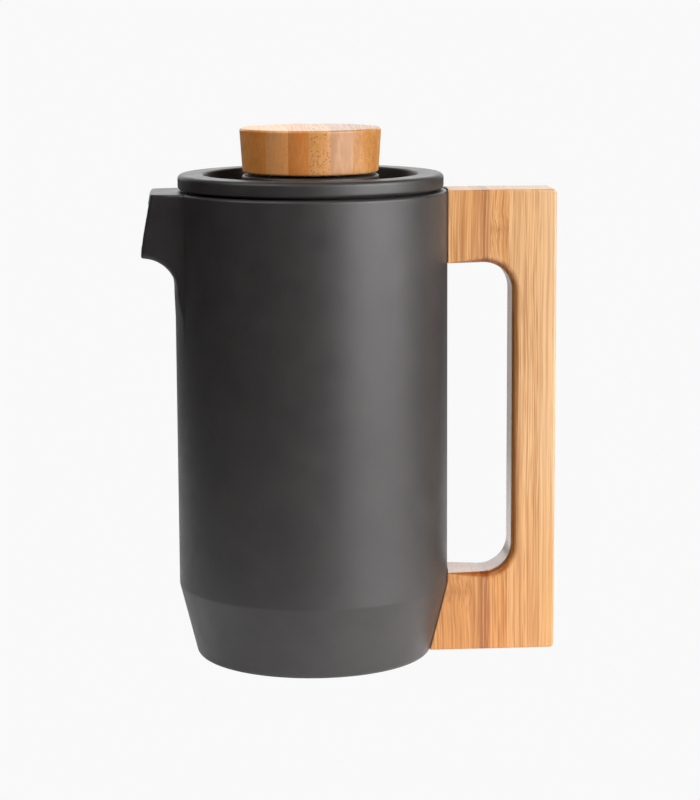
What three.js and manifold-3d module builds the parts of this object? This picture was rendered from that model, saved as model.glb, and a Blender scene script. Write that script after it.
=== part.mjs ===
// A french press: a stoneware pot with a short enclosed spout, a bamboo handle screwed to two lugs,
// a dished stoneware lid with a silicone seal, and a plunger with a bamboo knob and a filter stack.
//
// Millimetres, +Z up. The pot's axis is the Z axis and its base stands on z = 0.
// The handle is on the +X side and the spout on the -X side. The plunger is fully pressed.

import * as THREE from 'three';
import { mergeVertices } from 'three/addons/utils/BufferGeometryUtils.js';
import Module from 'manifold-3d';

const wasm = await Module();
wasm.setup();

// ---------------------------------------------------------------- driving dimensions

const POT_RADIUS = 52;
const POT_HEIGHT = 179.5;
const POT_WALL = 4.5;
const POT_FLOOR = 6;
const POT_BASE_RADIUS = 45.1;
const POT_TAPER_TOP = 28;
const POT_BASE_ROUND = 2.4;
const POT_RIM_ROUND = 2;
const POT_MOUTH_CHAMFER = 1;
const POT_INNER_ROUND = 6;
const POT_SIDES = 72;

const SPOUT_TOP = 179.4;
const SPOUT_TOP_REACH = 60.9;
const SPOUT_LIP_REACH = 65.5;
const SPOUT_LIP_Z = 155.2;
const SPOUT_LIP_CHAMFER = 0.6;
const SPOUT_UNDER_RADIUS = 10.6;
const SPOUT_TIP_HALF_WIDTH = 14.5;
const SPOUT_ROOT_HALF_WIDTH = 18.8;
const SPOUT_TIP_ROUND = 4;
const SPOUT_WALL = 3.8;
const SPOUT_CHANNEL_DROP = 8;

const HANDLE_THICKNESS = 20;
const HANDLE_BACK_X = 93;
const HANDLE_GRIP_X = 76.25;
const HANDLE_BOTTOM = 1;
const HANDLE_TOP = 179.7;
const UPPER_ARM_UNDERSIDE = 151.9;
const LOWER_ARM_TOP = 31.5;
const HANDLE_INNER_ROUND = 11;
const HANDLE_OUTER_ROUND = 1.2;
const HANDLE_STANDOFF = 1.1;

const PAD_THICKNESS = 0.5;
const PAD_GAP = 0.3;
const PAD_INSET = 0.3;

const LUG_WIDTH = 10;
const LUG_HEIGHT = 11;
const LUG_REACH = 66;
const LUG_ABOVE_ARM_UNDERSIDE = 6.6;
const LUG_CLEARANCE = 0.4;
const SCREW_X = 60;
const SCREW_LENGTH = 24;
const SCREW_RADIUS = 2;
const SCREW_HEAD_RADIUS = 4;
const SCREW_HEAD_HEIGHT = 2.4;
const SCREW_INSET = 0.2;
const SCREW_CLEARANCE = 0.3;

const LID_SEAT_Z = 179.8;
const LID_RADIUS = 51;
const LID_EDGE_RADIUS = 49.5;
const LID_EDGE_HEIGHT = 2.8;
const LID_CREST = 6.2;
const LID_CREST_ROUND = 3.4;
const LID_DISH_RADIUS = 41;
const LID_DISH_FLOOR = -1.2;
const LID_UNDERSIDE = -5.4;
const LID_SKIRT_RADIUS = 46.2;
const LID_SKIRT_INNER_RADIUS = 42;
const LID_SKIRT_BOTTOM = -7.2;
const LID_GROOVE_RADIUS = 43.8;
const LID_GROOVE_TOP = -1.9;
const LID_GROOVE_BOTTOM = -6.1;
const BOSS_RADIUS = 26;
const BOSS_TOP = 5.8;
const BOSS_ROOF_UNDERSIDE = -0.6;
const BOSS_HOLLOW_RADIUS = 20;
const GUIDE_SEAT_RADIUS = 9.1;
const GUIDE_SEAT_DEPTH = 1.3;
const LID_BORE_RADIUS = 6;
const LID_SIDES = 60;

const SEAL_INNER_RADIUS = 44.1;
const SEAL_LIP_RADIUS = 47.3;
const SEAL_BOTTOM = -5.85;
const SEAL_TOP = -2.15;

const GUIDE_FLANGE_RADIUS = 8.7;
const GUIDE_BARREL_RADIUS = 5.7;
const GUIDE_BORE_RADIUS = 2.6;
const GUIDE_TOP = 5.75;
const GUIDE_BOTTOM = -5;
const GUIDE_GROOVE_RADIUS = 5;
const GUIDE_WASHER_INNER_RADIUS = 5.9;
const GUIDE_WASHER_RADIUS = 10.5;
const GUIDE_WASHER_BOTTOM = -1.8;
const GUIDE_WASHER_TOP = -0.8;
const CLIP_TOP = -2.1;
const CLIP_THICKNESS = 0.8;

const KNOB_BOTTOM_Z = 186.5;
const KNOB_HEIGHT = 16.8;
const KNOB_BOTTOM_RADIUS = 25.8;
const KNOB_TOP_RADIUS = 26.9;
const KNOB_ROUND = 1;
const KNOB_POCKET_RADIUS = 5.3;
const KNOB_POCKET_DEPTH = 12;
const INSERT_RADIUS = 5;
const INSERT_BOTTOM = 0.4;
const INSERT_TOP = 11.5;
const WASHER_RADIUS = 8;
const WASHER_BORE_RADIUS = 2.75;
const WASHER_BOTTOM = -0.65;
const WASHER_TOP = -0.1;

const ROD_RADIUS = 2.5;
const ROD_TOP_Z = 197.5;
const ROD_BOTTOM_Z = 27.6;
const ROD_TAIL_RADIUS = 2;
const ROD_SHOULDER_Z = 39.5;

const STACK_BORE_RADIUS = 2.35;
const COLLAR_RADIUS = 6;
const COLLAR_HEIGHT = 6.5;
const SHEET = 0.8;
const SPIRAL_PLATE_Z = 36;
const SPIRAL_PLATE_RADIUS = 44.3;
const SPIRAL_PLATE_RIM = 3.6;
const SPIRAL_HOLE_COUNT = 12;
const SPIRAL_HOLE_RADIUS = 4;
const SPIRAL_HOLE_CIRCLE = 29;
const SPRING_RING_RADIUS = 45.8;
const SPRING_COIL_RADIUS = 1.3;
const SPRING_Z = 37.9;
const FILTER_Z = 34.9;
const FILTER_THICKNESS = 0.5;
const FILTER_RADIUS = 46.9;
const FILTER_HEM_WIDTH = 1.7;
const CROSS_PLATE_Z = 33.5;
const CROSS_PLATE_RADIUS = 44;
const CROSS_WINDOW_COUNT = 6;
const CROSS_WINDOW_INNER = 11;
const CROSS_WINDOW_OUTER = 39;
const CROSS_SPOKE_WIDTH = 6;
const NUT_CORNER_RADIUS = 5.6;
const NUT_HEIGHT = 4.7;
const NUT_TOP_Z = 33.2;
const NUT_BORE_RADIUS = 2.2;

const RING_SIDES = 48;
const SMALL_SIDES = 24;

// ---------------------------------------------------------------- solids and outlines

const WELD_DISTANCE = 1e-4;

/** A closed geometry as a solid: shared corners welded, slivers dropped, faces pointing out. */
function toSolid(geometry) {
  const bare = geometry.clone();
  for (const name of Object.keys(bare.attributes)) {
    if (name !== 'position') bare.deleteAttribute(name);
  }
  const welded = mergeVertices(bare, WELD_DISTANCE);
  const points = welded.attributes.position.array;
  const index = welded.index.array;
  const triangles = [];
  let sixVolumes = 0;
  const corner = (i) => new THREE.Vector3().fromArray(points, 3 * i);
  for (let i = 0; i < index.length; i += 3) {
    const [a, b, c] = [index[i], index[i + 1], index[i + 2]];
    if (a === b || b === c || c === a) continue;
    triangles.push([a, b, c]);
    sixVolumes += corner(a).dot(corner(b).cross(corner(c)));
  }
  const outward = sixVolumes > 0 ? triangles : triangles.map(([a, b, c]) => [a, c, b]);
  return new wasm.Manifold(new wasm.Mesh({
    numProp: 3,
    vertProperties: Float32Array.from(points),
    triVerts: Uint32Array.from(outward.flat()),
  }));
}

/** A solid as a geometry for a mesh. */
function toGeometry(solid) {
  const { vertProperties, triVerts, numProp } = solid.getMesh();
  const positions = [];
  for (let i = 0; i < vertProperties.length; i += numProp) {
    positions.push(vertProperties[i], vertProperties[i + 1], vertProperties[i + 2]);
  }
  const geometry = new THREE.BufferGeometry();
  geometry.setAttribute('position', new THREE.Float32BufferAttribute(positions, 3));
  geometry.setIndex(Array.from(triVerts));
  geometry.computeVertexNormals();
  return geometry;
}

/** Points of an arc in an outline, from one angle to another, in degrees. */
function arc(centre, radius, fromDegrees, toDegrees, steps) {
  const points = [];
  for (let i = 0; i <= steps; i += 1) {
    const angle = THREE.MathUtils.degToRad(fromDegrees + ((toDegrees - fromDegrees) * i) / steps);
    points.push([centre[0] + radius * Math.cos(angle), centre[1] + radius * Math.sin(angle)]);
  }
  return points;
}

const asVectors = (points) => points.map(([x, y]) => new THREE.Vector2(x, y));

/** A solid turned about Z. The profile is [radius, z] points that start and end on the axis. */
function turned(profile, sides) {
  return toSolid(new THREE.LatheGeometry(asVectors(profile), sides).rotateX(Math.PI / 2));
}

/** A turned ring, whose profile closes on itself. */
function turnedRing(profile, sides) {
  return turned([...profile, profile[0]], sides);
}

/** A plain tube or washer standing on z = bottom. */
function tube(innerRadius, outerRadius, bottom, top, sides) {
  const profile = [[innerRadius, bottom], [outerRadius, bottom], [outerRadius, top], [innerRadius, top]];
  return turnedRing(profile, sides);
}

/** A cylinder along Z. */
function cylinder(radius, bottom, top, sides) {
  return turned([[0, bottom], [radius, bottom], [radius, top], [0, top]], sides);
}

/** An outline in the XZ plane, made thick along Y about y = 0. */
function slabAcross(outline, thickness) {
  const slab = new THREE.ExtrudeGeometry(new THREE.Shape(asVectors(outline)), {
    depth: thickness,
    bevelEnabled: false,
  });
  return toSolid(slab.rotateX(Math.PI / 2).translate(0, thickness / 2, 0));
}

/** An outline in the XY plane, made tall along Z. */
function slabUp(shape, bottom, top) {
  const slab = new THREE.ExtrudeGeometry(shape, { depth: top - bottom, bevelEnabled: false });
  return toSolid(slab.translate(0, 0, bottom));
}

/** A block from its lowest and highest corners. */
function block(low, high) {
  const size = high.map((value, i) => value - low[i]);
  const box = new THREE.BoxGeometry(...size);
  return toSolid(box.translate(low[0] + size[0] / 2, low[1] + size[1] / 2, low[2] + size[2] / 2));
}

// ---------------------------------------------------------------- pot

const TAPER_SLOPE = (POT_RADIUS - POT_BASE_RADIUS) / POT_TAPER_TOP;
const TAPER_ANGLE = Math.atan(TAPER_SLOPE);
const TAPER_DEGREES = THREE.MathUtils.radToDeg(TAPER_ANGLE);

/** The corner round between a level floor and the tapered wall that leaves it at cornerRadius. */
function floorRound(cornerRadius, floorZ, round, steps) {
  const inset = (round * (1 - Math.sin(TAPER_ANGLE))) / Math.cos(TAPER_ANGLE);
  return arc([cornerRadius - inset, floorZ + round], round, -90, -TAPER_DEGREES, steps);
}

/** The pot's outside as a full solid. */
function potOutside() {
  const rimCentre = [POT_RADIUS - POT_RIM_ROUND, POT_HEIGHT - POT_RIM_ROUND];
  return turned([
    [0, 0],
    ...floorRound(POT_BASE_RADIUS, 0, POT_BASE_ROUND, 3),
    [POT_RADIUS, POT_TAPER_TOP],
    ...arc(rimCentre, POT_RIM_ROUND, 0, 90, 3),
    [0, POT_HEIGHT],
  ], POT_SIDES);
}

/** The pot's hollow, carried on above the mouth. */
function potHollow() {
  const innerRadius = POT_RADIUS - POT_WALL;
  const innerBase = POT_BASE_RADIUS - POT_WALL;
  const aboveMouth = POT_HEIGHT + 10;
  return turned([
    [0, POT_FLOOR],
    ...floorRound(innerBase + TAPER_SLOPE * POT_FLOOR, POT_FLOOR, POT_INNER_ROUND, 3),
    [innerRadius, POT_TAPER_TOP],
    [innerRadius, POT_HEIGHT - POT_MOUTH_CHAMFER],
    [innerRadius + POT_MOUTH_CHAMFER, POT_HEIGHT],
    [innerRadius + POT_MOUTH_CHAMFER, aboveMouth],
    [0, aboveMouth],
  ], POT_SIDES);
}

/** The pot's wall surface moved out by a clearance and carried past both ends, to trim what meets it. */
function wallEnvelope(clearance) {
  const below = -10;
  const above = POT_HEIGHT + 20;
  return turned([
    [0, below],
    [POT_BASE_RADIUS + TAPER_SLOPE * below + clearance, below],
    [POT_RADIUS + clearance, POT_TAPER_TOP],
    [POT_RADIUS + clearance, above],
    [0, above],
  ], POT_SIDES);
}

/** The spout's outline seen from above, symmetric about y = 0, with bowed sides and a round-cornered tip. */
function spoutPlan(rootHalfWidth, tipHalfWidth, reach, tipRound) {
  const rootX = -44;
  const shape = new THREE.Shape();
  shape.moveTo(rootX, -rootHalfWidth);
  shape.quadraticCurveTo(-56, -rootHalfWidth, -reach + tipRound, -tipHalfWidth);
  shape.quadraticCurveTo(-reach, -tipHalfWidth, -reach, -tipHalfWidth + tipRound);
  shape.lineTo(-reach, tipHalfWidth - tipRound);
  shape.quadraticCurveTo(-reach, tipHalfWidth, -reach + tipRound, tipHalfWidth);
  shape.quadraticCurveTo(-56, rootHalfWidth, rootX, rootHalfWidth);
  return new THREE.Shape(shape.getPoints(4));
}

/** The spout's outside, which starts inside the pot's wall. */
function spoutOutside() {
  const insideX = -(POT_RADIUS - 8);
  const underX = -(POT_RADIUS - 0.2 + SPOUT_UNDER_RADIUS);
  const side = slabAcross([
    [insideX, SPOUT_TOP],
    [-SPOUT_TOP_REACH, SPOUT_TOP],
    [-SPOUT_LIP_REACH, SPOUT_LIP_Z + SPOUT_LIP_CHAMFER],
    [-SPOUT_LIP_REACH + SPOUT_LIP_CHAMFER, SPOUT_LIP_Z],
    ...arc([underX, SPOUT_LIP_Z - SPOUT_UNDER_RADIUS], SPOUT_UNDER_RADIUS, 90, 0, 5),
    [insideX, SPOUT_LIP_Z - SPOUT_UNDER_RADIUS],
  ], 2 * SPOUT_ROOT_HALF_WIDTH + 10);
  const plan = spoutPlan(SPOUT_ROOT_HALF_WIDTH, SPOUT_TIP_HALF_WIDTH, SPOUT_LIP_REACH + 1, SPOUT_TIP_ROUND);
  return side.intersect(slabUp(plan, 100, 200));
}

/** The channel that runs from the hollow to the spout's mouth. */
function spoutChannel() {
  const insideX = -(POT_RADIUS - 8);
  const outsideX = -(SPOUT_LIP_REACH + 4);
  const floorZ = SPOUT_LIP_Z + SPOUT_WALL;
  const side = slabAcross([
    [insideX, SPOUT_TOP - SPOUT_WALL - 3],
    [-SPOUT_TOP_REACH, SPOUT_TOP - SPOUT_WALL],
    [outsideX, SPOUT_TOP - SPOUT_WALL],
    [outsideX, floorZ],
    [-(POT_RADIUS + 6), floorZ],
    [insideX, floorZ - SPOUT_CHANNEL_DROP],
  ], 2 * SPOUT_ROOT_HALF_WIDTH);
  const rootHalfWidth = SPOUT_ROOT_HALF_WIDTH - SPOUT_WALL - 1;
  const tipHalfWidth = SPOUT_TIP_HALF_WIDTH - SPOUT_WALL;
  const plan = new THREE.Shape(asVectors([
    [insideX, -rootHalfWidth],
    [-SPOUT_TOP_REACH, -tipHalfWidth],
    [outsideX, -tipHalfWidth],
    [outsideX, tipHalfWidth],
    [-SPOUT_TOP_REACH, tipHalfWidth],
    [insideX, rootHalfWidth],
  ]));
  return side.intersect(slabUp(plan, 100, 200));
}

/** A lug that stands out of the wall into a handle arm, or the mortise that takes it. */
function lug(armUnderside, rootX, clearance) {
  const bottom = armUnderside + LUG_ABOVE_ARM_UNDERSIDE;
  return block(
    [rootX, -LUG_WIDTH / 2 - clearance, bottom - clearance],
    [LUG_REACH + clearance, LUG_WIDTH / 2 + clearance, bottom + LUG_HEIGHT + clearance],
  );
}

const ARMS = [
  { name: 'upper', underside: UPPER_ARM_UNDERSIDE, top: HANDLE_TOP, lugRootX: 49.5 },
  { name: 'lower', underside: HANDLE_BOTTOM, top: LOWER_ARM_TOP, lugRootX: 46 },
];

/** The space that a screw and its countersunk head take up in an arm. */
function screwSpace(armUnderside, clearance) {
  const shank = SCREW_RADIUS + clearance;
  const head = SCREW_HEAD_RADIUS + clearance;
  const start = armUnderside + SCREW_INSET;
  const coneTop = start + SCREW_HEAD_HEIGHT + clearance;
  const end = start + SCREW_LENGTH + 1;
  return turned([
    [0, armUnderside - 5],
    [head, armUnderside - 5],
    [head, start + 0.4],
    [shank, coneTop],
    [shank, end],
    [0, end],
  ], SMALL_SIDES).translate(SCREW_X, 0, 0);
}

function makePot() {
  let pot = potOutside().add(spoutOutside());
  for (const arm of ARMS) {
    pot = pot.add(lug(arm.underside, arm.lugRootX, 0));
  }
  pot = pot.subtract(potHollow()).subtract(spoutChannel());
  for (const arm of ARMS) {
    const hole = cylinder(SCREW_RADIUS + 0.4, arm.underside, arm.underside + SCREW_LENGTH, SMALL_SIDES);
    pot = pot.subtract(hole.translate(SCREW_X, 0, 0));
  }
  return pot;
}

// ---------------------------------------------------------------- handle

/** The handle's side outline. Its arms run on into the pot, for the wall to trim them. */
function handleOutline() {
  const insideX = 40;
  const outer = HANDLE_OUTER_ROUND;
  const inner = HANDLE_INNER_ROUND;
  return [
    [insideX, HANDLE_BOTTOM],
    ...arc([HANDLE_BACK_X - outer, HANDLE_BOTTOM + outer], outer, -90, 0, 2),
    ...arc([HANDLE_BACK_X - outer, HANDLE_TOP - outer], outer, 0, 90, 2),
    [insideX, HANDLE_TOP],
    [insideX, UPPER_ARM_UNDERSIDE],
    ...arc([HANDLE_GRIP_X - inner, UPPER_ARM_UNDERSIDE - inner], inner, 90, 0, 6),
    ...arc([HANDLE_GRIP_X - inner, LOWER_ARM_TOP + inner], inner, 0, -90, 6),
    [insideX, LOWER_ARM_TOP],
  ];
}

function makeHandle() {
  let handle = slabAcross(handleOutline(), HANDLE_THICKNESS).subtract(wallEnvelope(HANDLE_STANDOFF));
  for (const arm of ARMS) {
    handle = handle
      .subtract(lug(arm.underside, arm.lugRootX, LUG_CLEARANCE))
      .subtract(screwSpace(arm.underside, SCREW_CLEARANCE));
  }
  return handle;
}

/** The thin pad squeezed between an arm's end and the wall, with a hole for the lug. */
function makePad(arm) {
  const halfWidth = HANDLE_THICKNESS / 2 - PAD_INSET;
  const region = block([40, -halfWidth, arm.underside + PAD_INSET], [60, halfWidth, arm.top - PAD_INSET]);
  return region
    .intersect(wallEnvelope(PAD_GAP + PAD_THICKNESS))
    .subtract(wallEnvelope(PAD_GAP))
    .subtract(lug(arm.underside, arm.lugRootX - 8, LUG_CLEARANCE));
}

/** A countersunk socket screw that stands on its head at z = 0. */
function makeHandleScrew() {
  const body = turned([
    [0, 0],
    [SCREW_HEAD_RADIUS, 0],
    [SCREW_HEAD_RADIUS, 0.4],
    [SCREW_RADIUS, SCREW_HEAD_HEIGHT],
    [SCREW_RADIUS, SCREW_LENGTH - 2],
    [0.6, SCREW_LENGTH],
    [0, SCREW_LENGTH],
  ], SMALL_SIDES);
  return body.subtract(cylinder(1.45, -1, 1.6, 6));
}

// ---------------------------------------------------------------- lid, seal and rod guide

/** The lid about its seat: z = 0 is the underside of the flange that covers the pot's rim. */
function makeLid() {
  const crestCentre = [LID_RADIUS - LID_CREST_ROUND, LID_CREST - LID_CREST_ROUND];
  return turnedRing([
    [LID_BORE_RADIUS, BOSS_TOP - GUIDE_SEAT_DEPTH],
    [GUIDE_SEAT_RADIUS, BOSS_TOP - GUIDE_SEAT_DEPTH],
    [GUIDE_SEAT_RADIUS, BOSS_TOP],
    [BOSS_RADIUS - 0.8, BOSS_TOP],
    [BOSS_RADIUS, BOSS_TOP - 0.8],
    [BOSS_RADIUS, LID_DISH_FLOOR + 1],
    [BOSS_RADIUS + 1, LID_DISH_FLOOR],
    [LID_DISH_RADIUS - 3.5, LID_DISH_FLOOR],
    [LID_DISH_RADIUS - 0.8, LID_DISH_FLOOR + 2],
    [LID_DISH_RADIUS, LID_CREST - 1.4],
    [LID_DISH_RADIUS + 1.4, LID_CREST],
    ...arc(crestCentre, LID_CREST_ROUND, 90, 0, 3),
    [LID_RADIUS, LID_EDGE_HEIGHT],
    [LID_EDGE_RADIUS, 0],
    [LID_SKIRT_RADIUS, 0],
    [LID_SKIRT_RADIUS, LID_GROOVE_TOP],
    [LID_GROOVE_RADIUS, LID_GROOVE_TOP],
    [LID_GROOVE_RADIUS, LID_GROOVE_BOTTOM],
    [LID_SKIRT_RADIUS, LID_GROOVE_BOTTOM],
    [LID_SKIRT_RADIUS, LID_SKIRT_BOTTOM],
    [LID_SKIRT_INNER_RADIUS, LID_SKIRT_BOTTOM],
    [LID_SKIRT_INNER_RADIUS - 1, LID_UNDERSIDE],
    [BOSS_HOLLOW_RADIUS, LID_UNDERSIDE],
    [BOSS_HOLLOW_RADIUS, BOSS_ROOF_UNDERSIDE],
    [LID_BORE_RADIUS, BOSS_ROOF_UNDERSIDE],
  ], LID_SIDES);
}

/** The silicone ring in the skirt's groove, with two lips that wipe the pot's wall. */
function makeLidSeal() {
  const backing = SEAL_LIP_RADIUS - 0.8;
  const shoulder = SEAL_LIP_RADIUS - 1.3;
  return turnedRing([
    [SEAL_INNER_RADIUS, SEAL_BOTTOM],
    [shoulder, SEAL_BOTTOM],
    [SEAL_LIP_RADIUS, SEAL_BOTTOM + 0.6],
    [backing, SEAL_BOTTOM + 1.4],
    [backing, SEAL_TOP - 1.4],
    [SEAL_LIP_RADIUS, SEAL_TOP - 0.6],
    [shoulder, SEAL_TOP],
    [SEAL_INNER_RADIUS, SEAL_TOP],
  ], RING_SIDES);
}

/** The flanged bush that lines the lid's bore and guides the rod, grooved for its clip. */
function makeRodGuide() {
  const flangeUnderside = BOSS_TOP - GUIDE_SEAT_DEPTH + 0.2;
  const grooveTop = CLIP_TOP + 0.15;
  const grooveBottom = CLIP_TOP - CLIP_THICKNESS - 0.15;
  return turnedRing([
    [GUIDE_BORE_RADIUS, GUIDE_TOP],
    [GUIDE_FLANGE_RADIUS, GUIDE_TOP],
    [GUIDE_FLANGE_RADIUS, flangeUnderside],
    [GUIDE_BARREL_RADIUS, flangeUnderside],
    [GUIDE_BARREL_RADIUS, grooveTop],
    [GUIDE_GROOVE_RADIUS, grooveTop],
    [GUIDE_GROOVE_RADIUS, grooveBottom],
    [GUIDE_BARREL_RADIUS, grooveBottom],
    [GUIDE_BARREL_RADIUS, GUIDE_BOTTOM + 0.5],
    [GUIDE_BARREL_RADIUS - 0.5, GUIDE_BOTTOM],
    [GUIDE_BORE_RADIUS, GUIDE_BOTTOM],
  ], SMALL_SIDES);
}

/** The open retaining ring that sits in the guide's groove. */
function makeGuideClip() {
  const inner = GUIDE_GROOVE_RADIUS + 0.15;
  const outer = 7.4;
  const shape = new THREE.Shape(asVectors([...arc([0, 0], outer, 30, 330, 15), ...arc([0, 0], inner, 330, 30, 15)]));
  return slabUp(shape, CLIP_TOP - CLIP_THICKNESS, CLIP_TOP);
}

// ---------------------------------------------------------------- plunger

/** The knob about its underside, with a pocket for the threaded insert. */
function makeKnob() {
  const round = KNOB_ROUND;
  return turned([
    [0, KNOB_POCKET_DEPTH],
    [KNOB_POCKET_RADIUS, KNOB_POCKET_DEPTH],
    [KNOB_POCKET_RADIUS, 0],
    ...arc([KNOB_BOTTOM_RADIUS - round, round], round, -90, 0, 2),
    ...arc([KNOB_TOP_RADIUS - round, KNOB_HEIGHT - round], round, 0, 90, 2),
    [0, KNOB_HEIGHT],
  ], RING_SIDES);
}

function makeRod() {
  return turned([
    [0, ROD_BOTTOM_Z],
    [ROD_TAIL_RADIUS - 0.5, ROD_BOTTOM_Z],
    [ROD_TAIL_RADIUS, ROD_BOTTOM_Z + 0.5],
    [ROD_TAIL_RADIUS, ROD_SHOULDER_Z + 0.3],
    [ROD_RADIUS, ROD_SHOULDER_Z + 0.3],
    [ROD_RADIUS, ROD_TOP_Z - 0.5],
    [ROD_RADIUS - 0.5, ROD_TOP_Z],
    [0, ROD_TOP_Z],
  ], SMALL_SIDES);
}

/** The collar welded to the rod's shoulder, which the filter stack is clamped against. */
function makeRodCollar() {
  const top = ROD_SHOULDER_Z + COLLAR_HEIGHT;
  return turnedRing([
    [ROD_RADIUS + 0.08, ROD_SHOULDER_Z],
    [COLLAR_RADIUS, ROD_SHOULDER_Z],
    [COLLAR_RADIUS, top - 2],
    [COLLAR_RADIUS - 2, top],
    [ROD_RADIUS + 0.08, top],
  ], SMALL_SIDES);
}

/** The pressed upper plate: a raised hub, a ring of round holes and an upturned rim for the spring. */
function makeSpiralPlate() {
  const floor = SPIRAL_PLATE_Z;
  const hubTop = ROD_SHOULDER_Z - 0.3;
  const rimTop = floor + SPIRAL_PLATE_RIM;
  let plate = turnedRing([
    [STACK_BORE_RADIUS, hubTop - SHEET],
    [7.5, hubTop - SHEET],
    [10.5, floor],
    [SPIRAL_PLATE_RADIUS, floor],
    [SPIRAL_PLATE_RADIUS, rimTop],
    [SPIRAL_PLATE_RADIUS - SHEET, rimTop],
    [SPIRAL_PLATE_RADIUS - SHEET, floor + SHEET],
    [10.9, floor + SHEET],
    [7.9, hubTop],
    [STACK_BORE_RADIUS, hubTop],
  ], RING_SIDES);
  for (let i = 0; i < SPIRAL_HOLE_COUNT; i += 1) {
    const angle = (2 * Math.PI * i) / SPIRAL_HOLE_COUNT;
    const hole = cylinder(SPIRAL_HOLE_RADIUS, floor - 1, floor + 2, 8);
    const at = [SPIRAL_HOLE_CIRCLE * Math.cos(angle), SPIRAL_HOLE_CIRCLE * Math.sin(angle), 0];
    plate = plate.subtract(hole.translate(...at));
  }
  return plate;
}

/** The coil spring round the upper plate's edge, as the plain ring that it fills. */
function makeEdgeSpring() {
  return turnedRing(arc([SPRING_RING_RADIUS, SPRING_Z], SPRING_COIL_RADIUS, 0, 300, 5), RING_SIDES);
}

/** The woven filter disc with its folded hem. */
function makeFilterMesh() {
  const hemInner = FILTER_RADIUS - FILTER_HEM_WIDTH;
  const top = FILTER_Z + FILTER_THICKNESS;
  return turnedRing([
    [STACK_BORE_RADIUS, FILTER_Z],
    [hemInner, FILTER_Z],
    [hemInner + 0.3, FILTER_Z - 0.3],
    [FILTER_RADIUS, FILTER_Z - 0.3],
    [FILTER_RADIUS, top + 0.3],
    [hemInner + 0.3, top + 0.3],
    [hemInner, top],
    [STACK_BORE_RADIUS, top],
  ], RING_SIDES);
}

/** The lower plate: a hub and a rim joined by spokes. */
function makeCrossPlate() {
  const shape = new THREE.Shape(asVectors(arc([0, 0], CROSS_PLATE_RADIUS, 0, 352.5, 47)));
  shape.holes.push(new THREE.Path(asVectors(arc([0, 0], STACK_BORE_RADIUS, 0, 345, 23))));
  for (let i = 0; i < CROSS_WINDOW_COUNT; i += 1) {
    const middle = (360 * (i + 0.5)) / CROSS_WINDOW_COUNT;
    const pitch = 180 / CROSS_WINDOW_COUNT;
    const halfAngle = (radius) => pitch - THREE.MathUtils.radToDeg(CROSS_SPOKE_WIDTH / 2 / radius);
    const outer = halfAngle(CROSS_WINDOW_OUTER);
    const inner = halfAngle(CROSS_WINDOW_INNER);
    shape.holes.push(new THREE.Path(asVectors([
      ...arc([0, 0], CROSS_WINDOW_OUTER, middle - outer, middle + outer, 5),
      ...arc([0, 0], CROSS_WINDOW_INNER, middle + inner, middle - inner, 2),
    ])));
  }
  return slabUp(shape, CROSS_PLATE_Z, CROSS_PLATE_Z + SHEET);
}

/** The hexagonal nut that holds the filter stack on the rod's threaded tail. */
function makeFilterNut() {
  const hexagon = cylinder(NUT_CORNER_RADIUS, NUT_TOP_Z - NUT_HEIGHT, NUT_TOP_Z, 6);
  return hexagon.subtract(cylinder(NUT_BORE_RADIUS, NUT_TOP_Z - NUT_HEIGHT - 1, NUT_TOP_Z + 1, SMALL_SIDES));
}

// ---------------------------------------------------------------- assembly

const FINISHES = {
  stoneware: { color: 0x2b2927, roughness: 0.62, metalness: 0 },
  bamboo: { color: 0xd9a566, roughness: 0.5, metalness: 0 },
  silicone: { color: 0x2a2a2a, roughness: 0.7, metalness: 0 },
  padding: { color: 0x1d1b19, roughness: 0.85, metalness: 0 },
  steel: { color: 0xb9bbbd, roughness: 0.28, metalness: 1 },
  brass: { color: 0xc49a4a, roughness: 0.35, metalness: 1 },
};

/** A named mesh with a material of its own, at a height in its group. */
function piece(name, solid, finish, position = [0, 0, 0]) {
  const mesh = new THREE.Mesh(toGeometry(solid), new THREE.MeshStandardMaterial(FINISHES[finish]));
  mesh.name = name;
  mesh.position.set(...position);
  return mesh;
}

const frenchPress = new THREE.Group();

const potGroup = new THREE.Group();
potGroup.add(piece('pot', makePot(), 'stoneware'));
potGroup.add(piece('handle', makeHandle(), 'bamboo'));
for (const arm of ARMS) {
  const screwAt = [SCREW_X, 0, arm.underside + SCREW_INSET];
  potGroup.add(piece(`${arm.name}_handle_pad`, makePad(arm), 'padding'));
  potGroup.add(piece(`${arm.name}_handle_screw`, makeHandleScrew(), 'steel', screwAt));
}

const lidGroup = new THREE.Group();
lidGroup.position.z = LID_SEAT_Z;
lidGroup.add(piece('lid', makeLid(), 'stoneware'));
lidGroup.add(piece('lid_seal', makeLidSeal(), 'silicone'));
lidGroup.add(piece('rod_guide', makeRodGuide(), 'steel'));
const guideWasher = tube(
  GUIDE_WASHER_INNER_RADIUS, GUIDE_WASHER_RADIUS, GUIDE_WASHER_BOTTOM, GUIDE_WASHER_TOP, SMALL_SIDES,
);
lidGroup.add(piece('guide_washer', guideWasher, 'steel'));
lidGroup.add(piece('guide_clip', makeGuideClip(), 'steel'));

const knobGroup = new THREE.Group();
knobGroup.position.z = KNOB_BOTTOM_Z;
knobGroup.add(piece('knob', makeKnob(), 'bamboo'));
const insertSolid = tube(ROD_RADIUS + 0.15, INSERT_RADIUS, INSERT_BOTTOM, INSERT_TOP, SMALL_SIDES);
knobGroup.add(piece('knob_insert', insertSolid, 'brass'));
const washerSolid = tube(WASHER_BORE_RADIUS, WASHER_RADIUS, WASHER_BOTTOM, WASHER_TOP, SMALL_SIDES);
knobGroup.add(piece('knob_washer', washerSolid, 'steel'));

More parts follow.
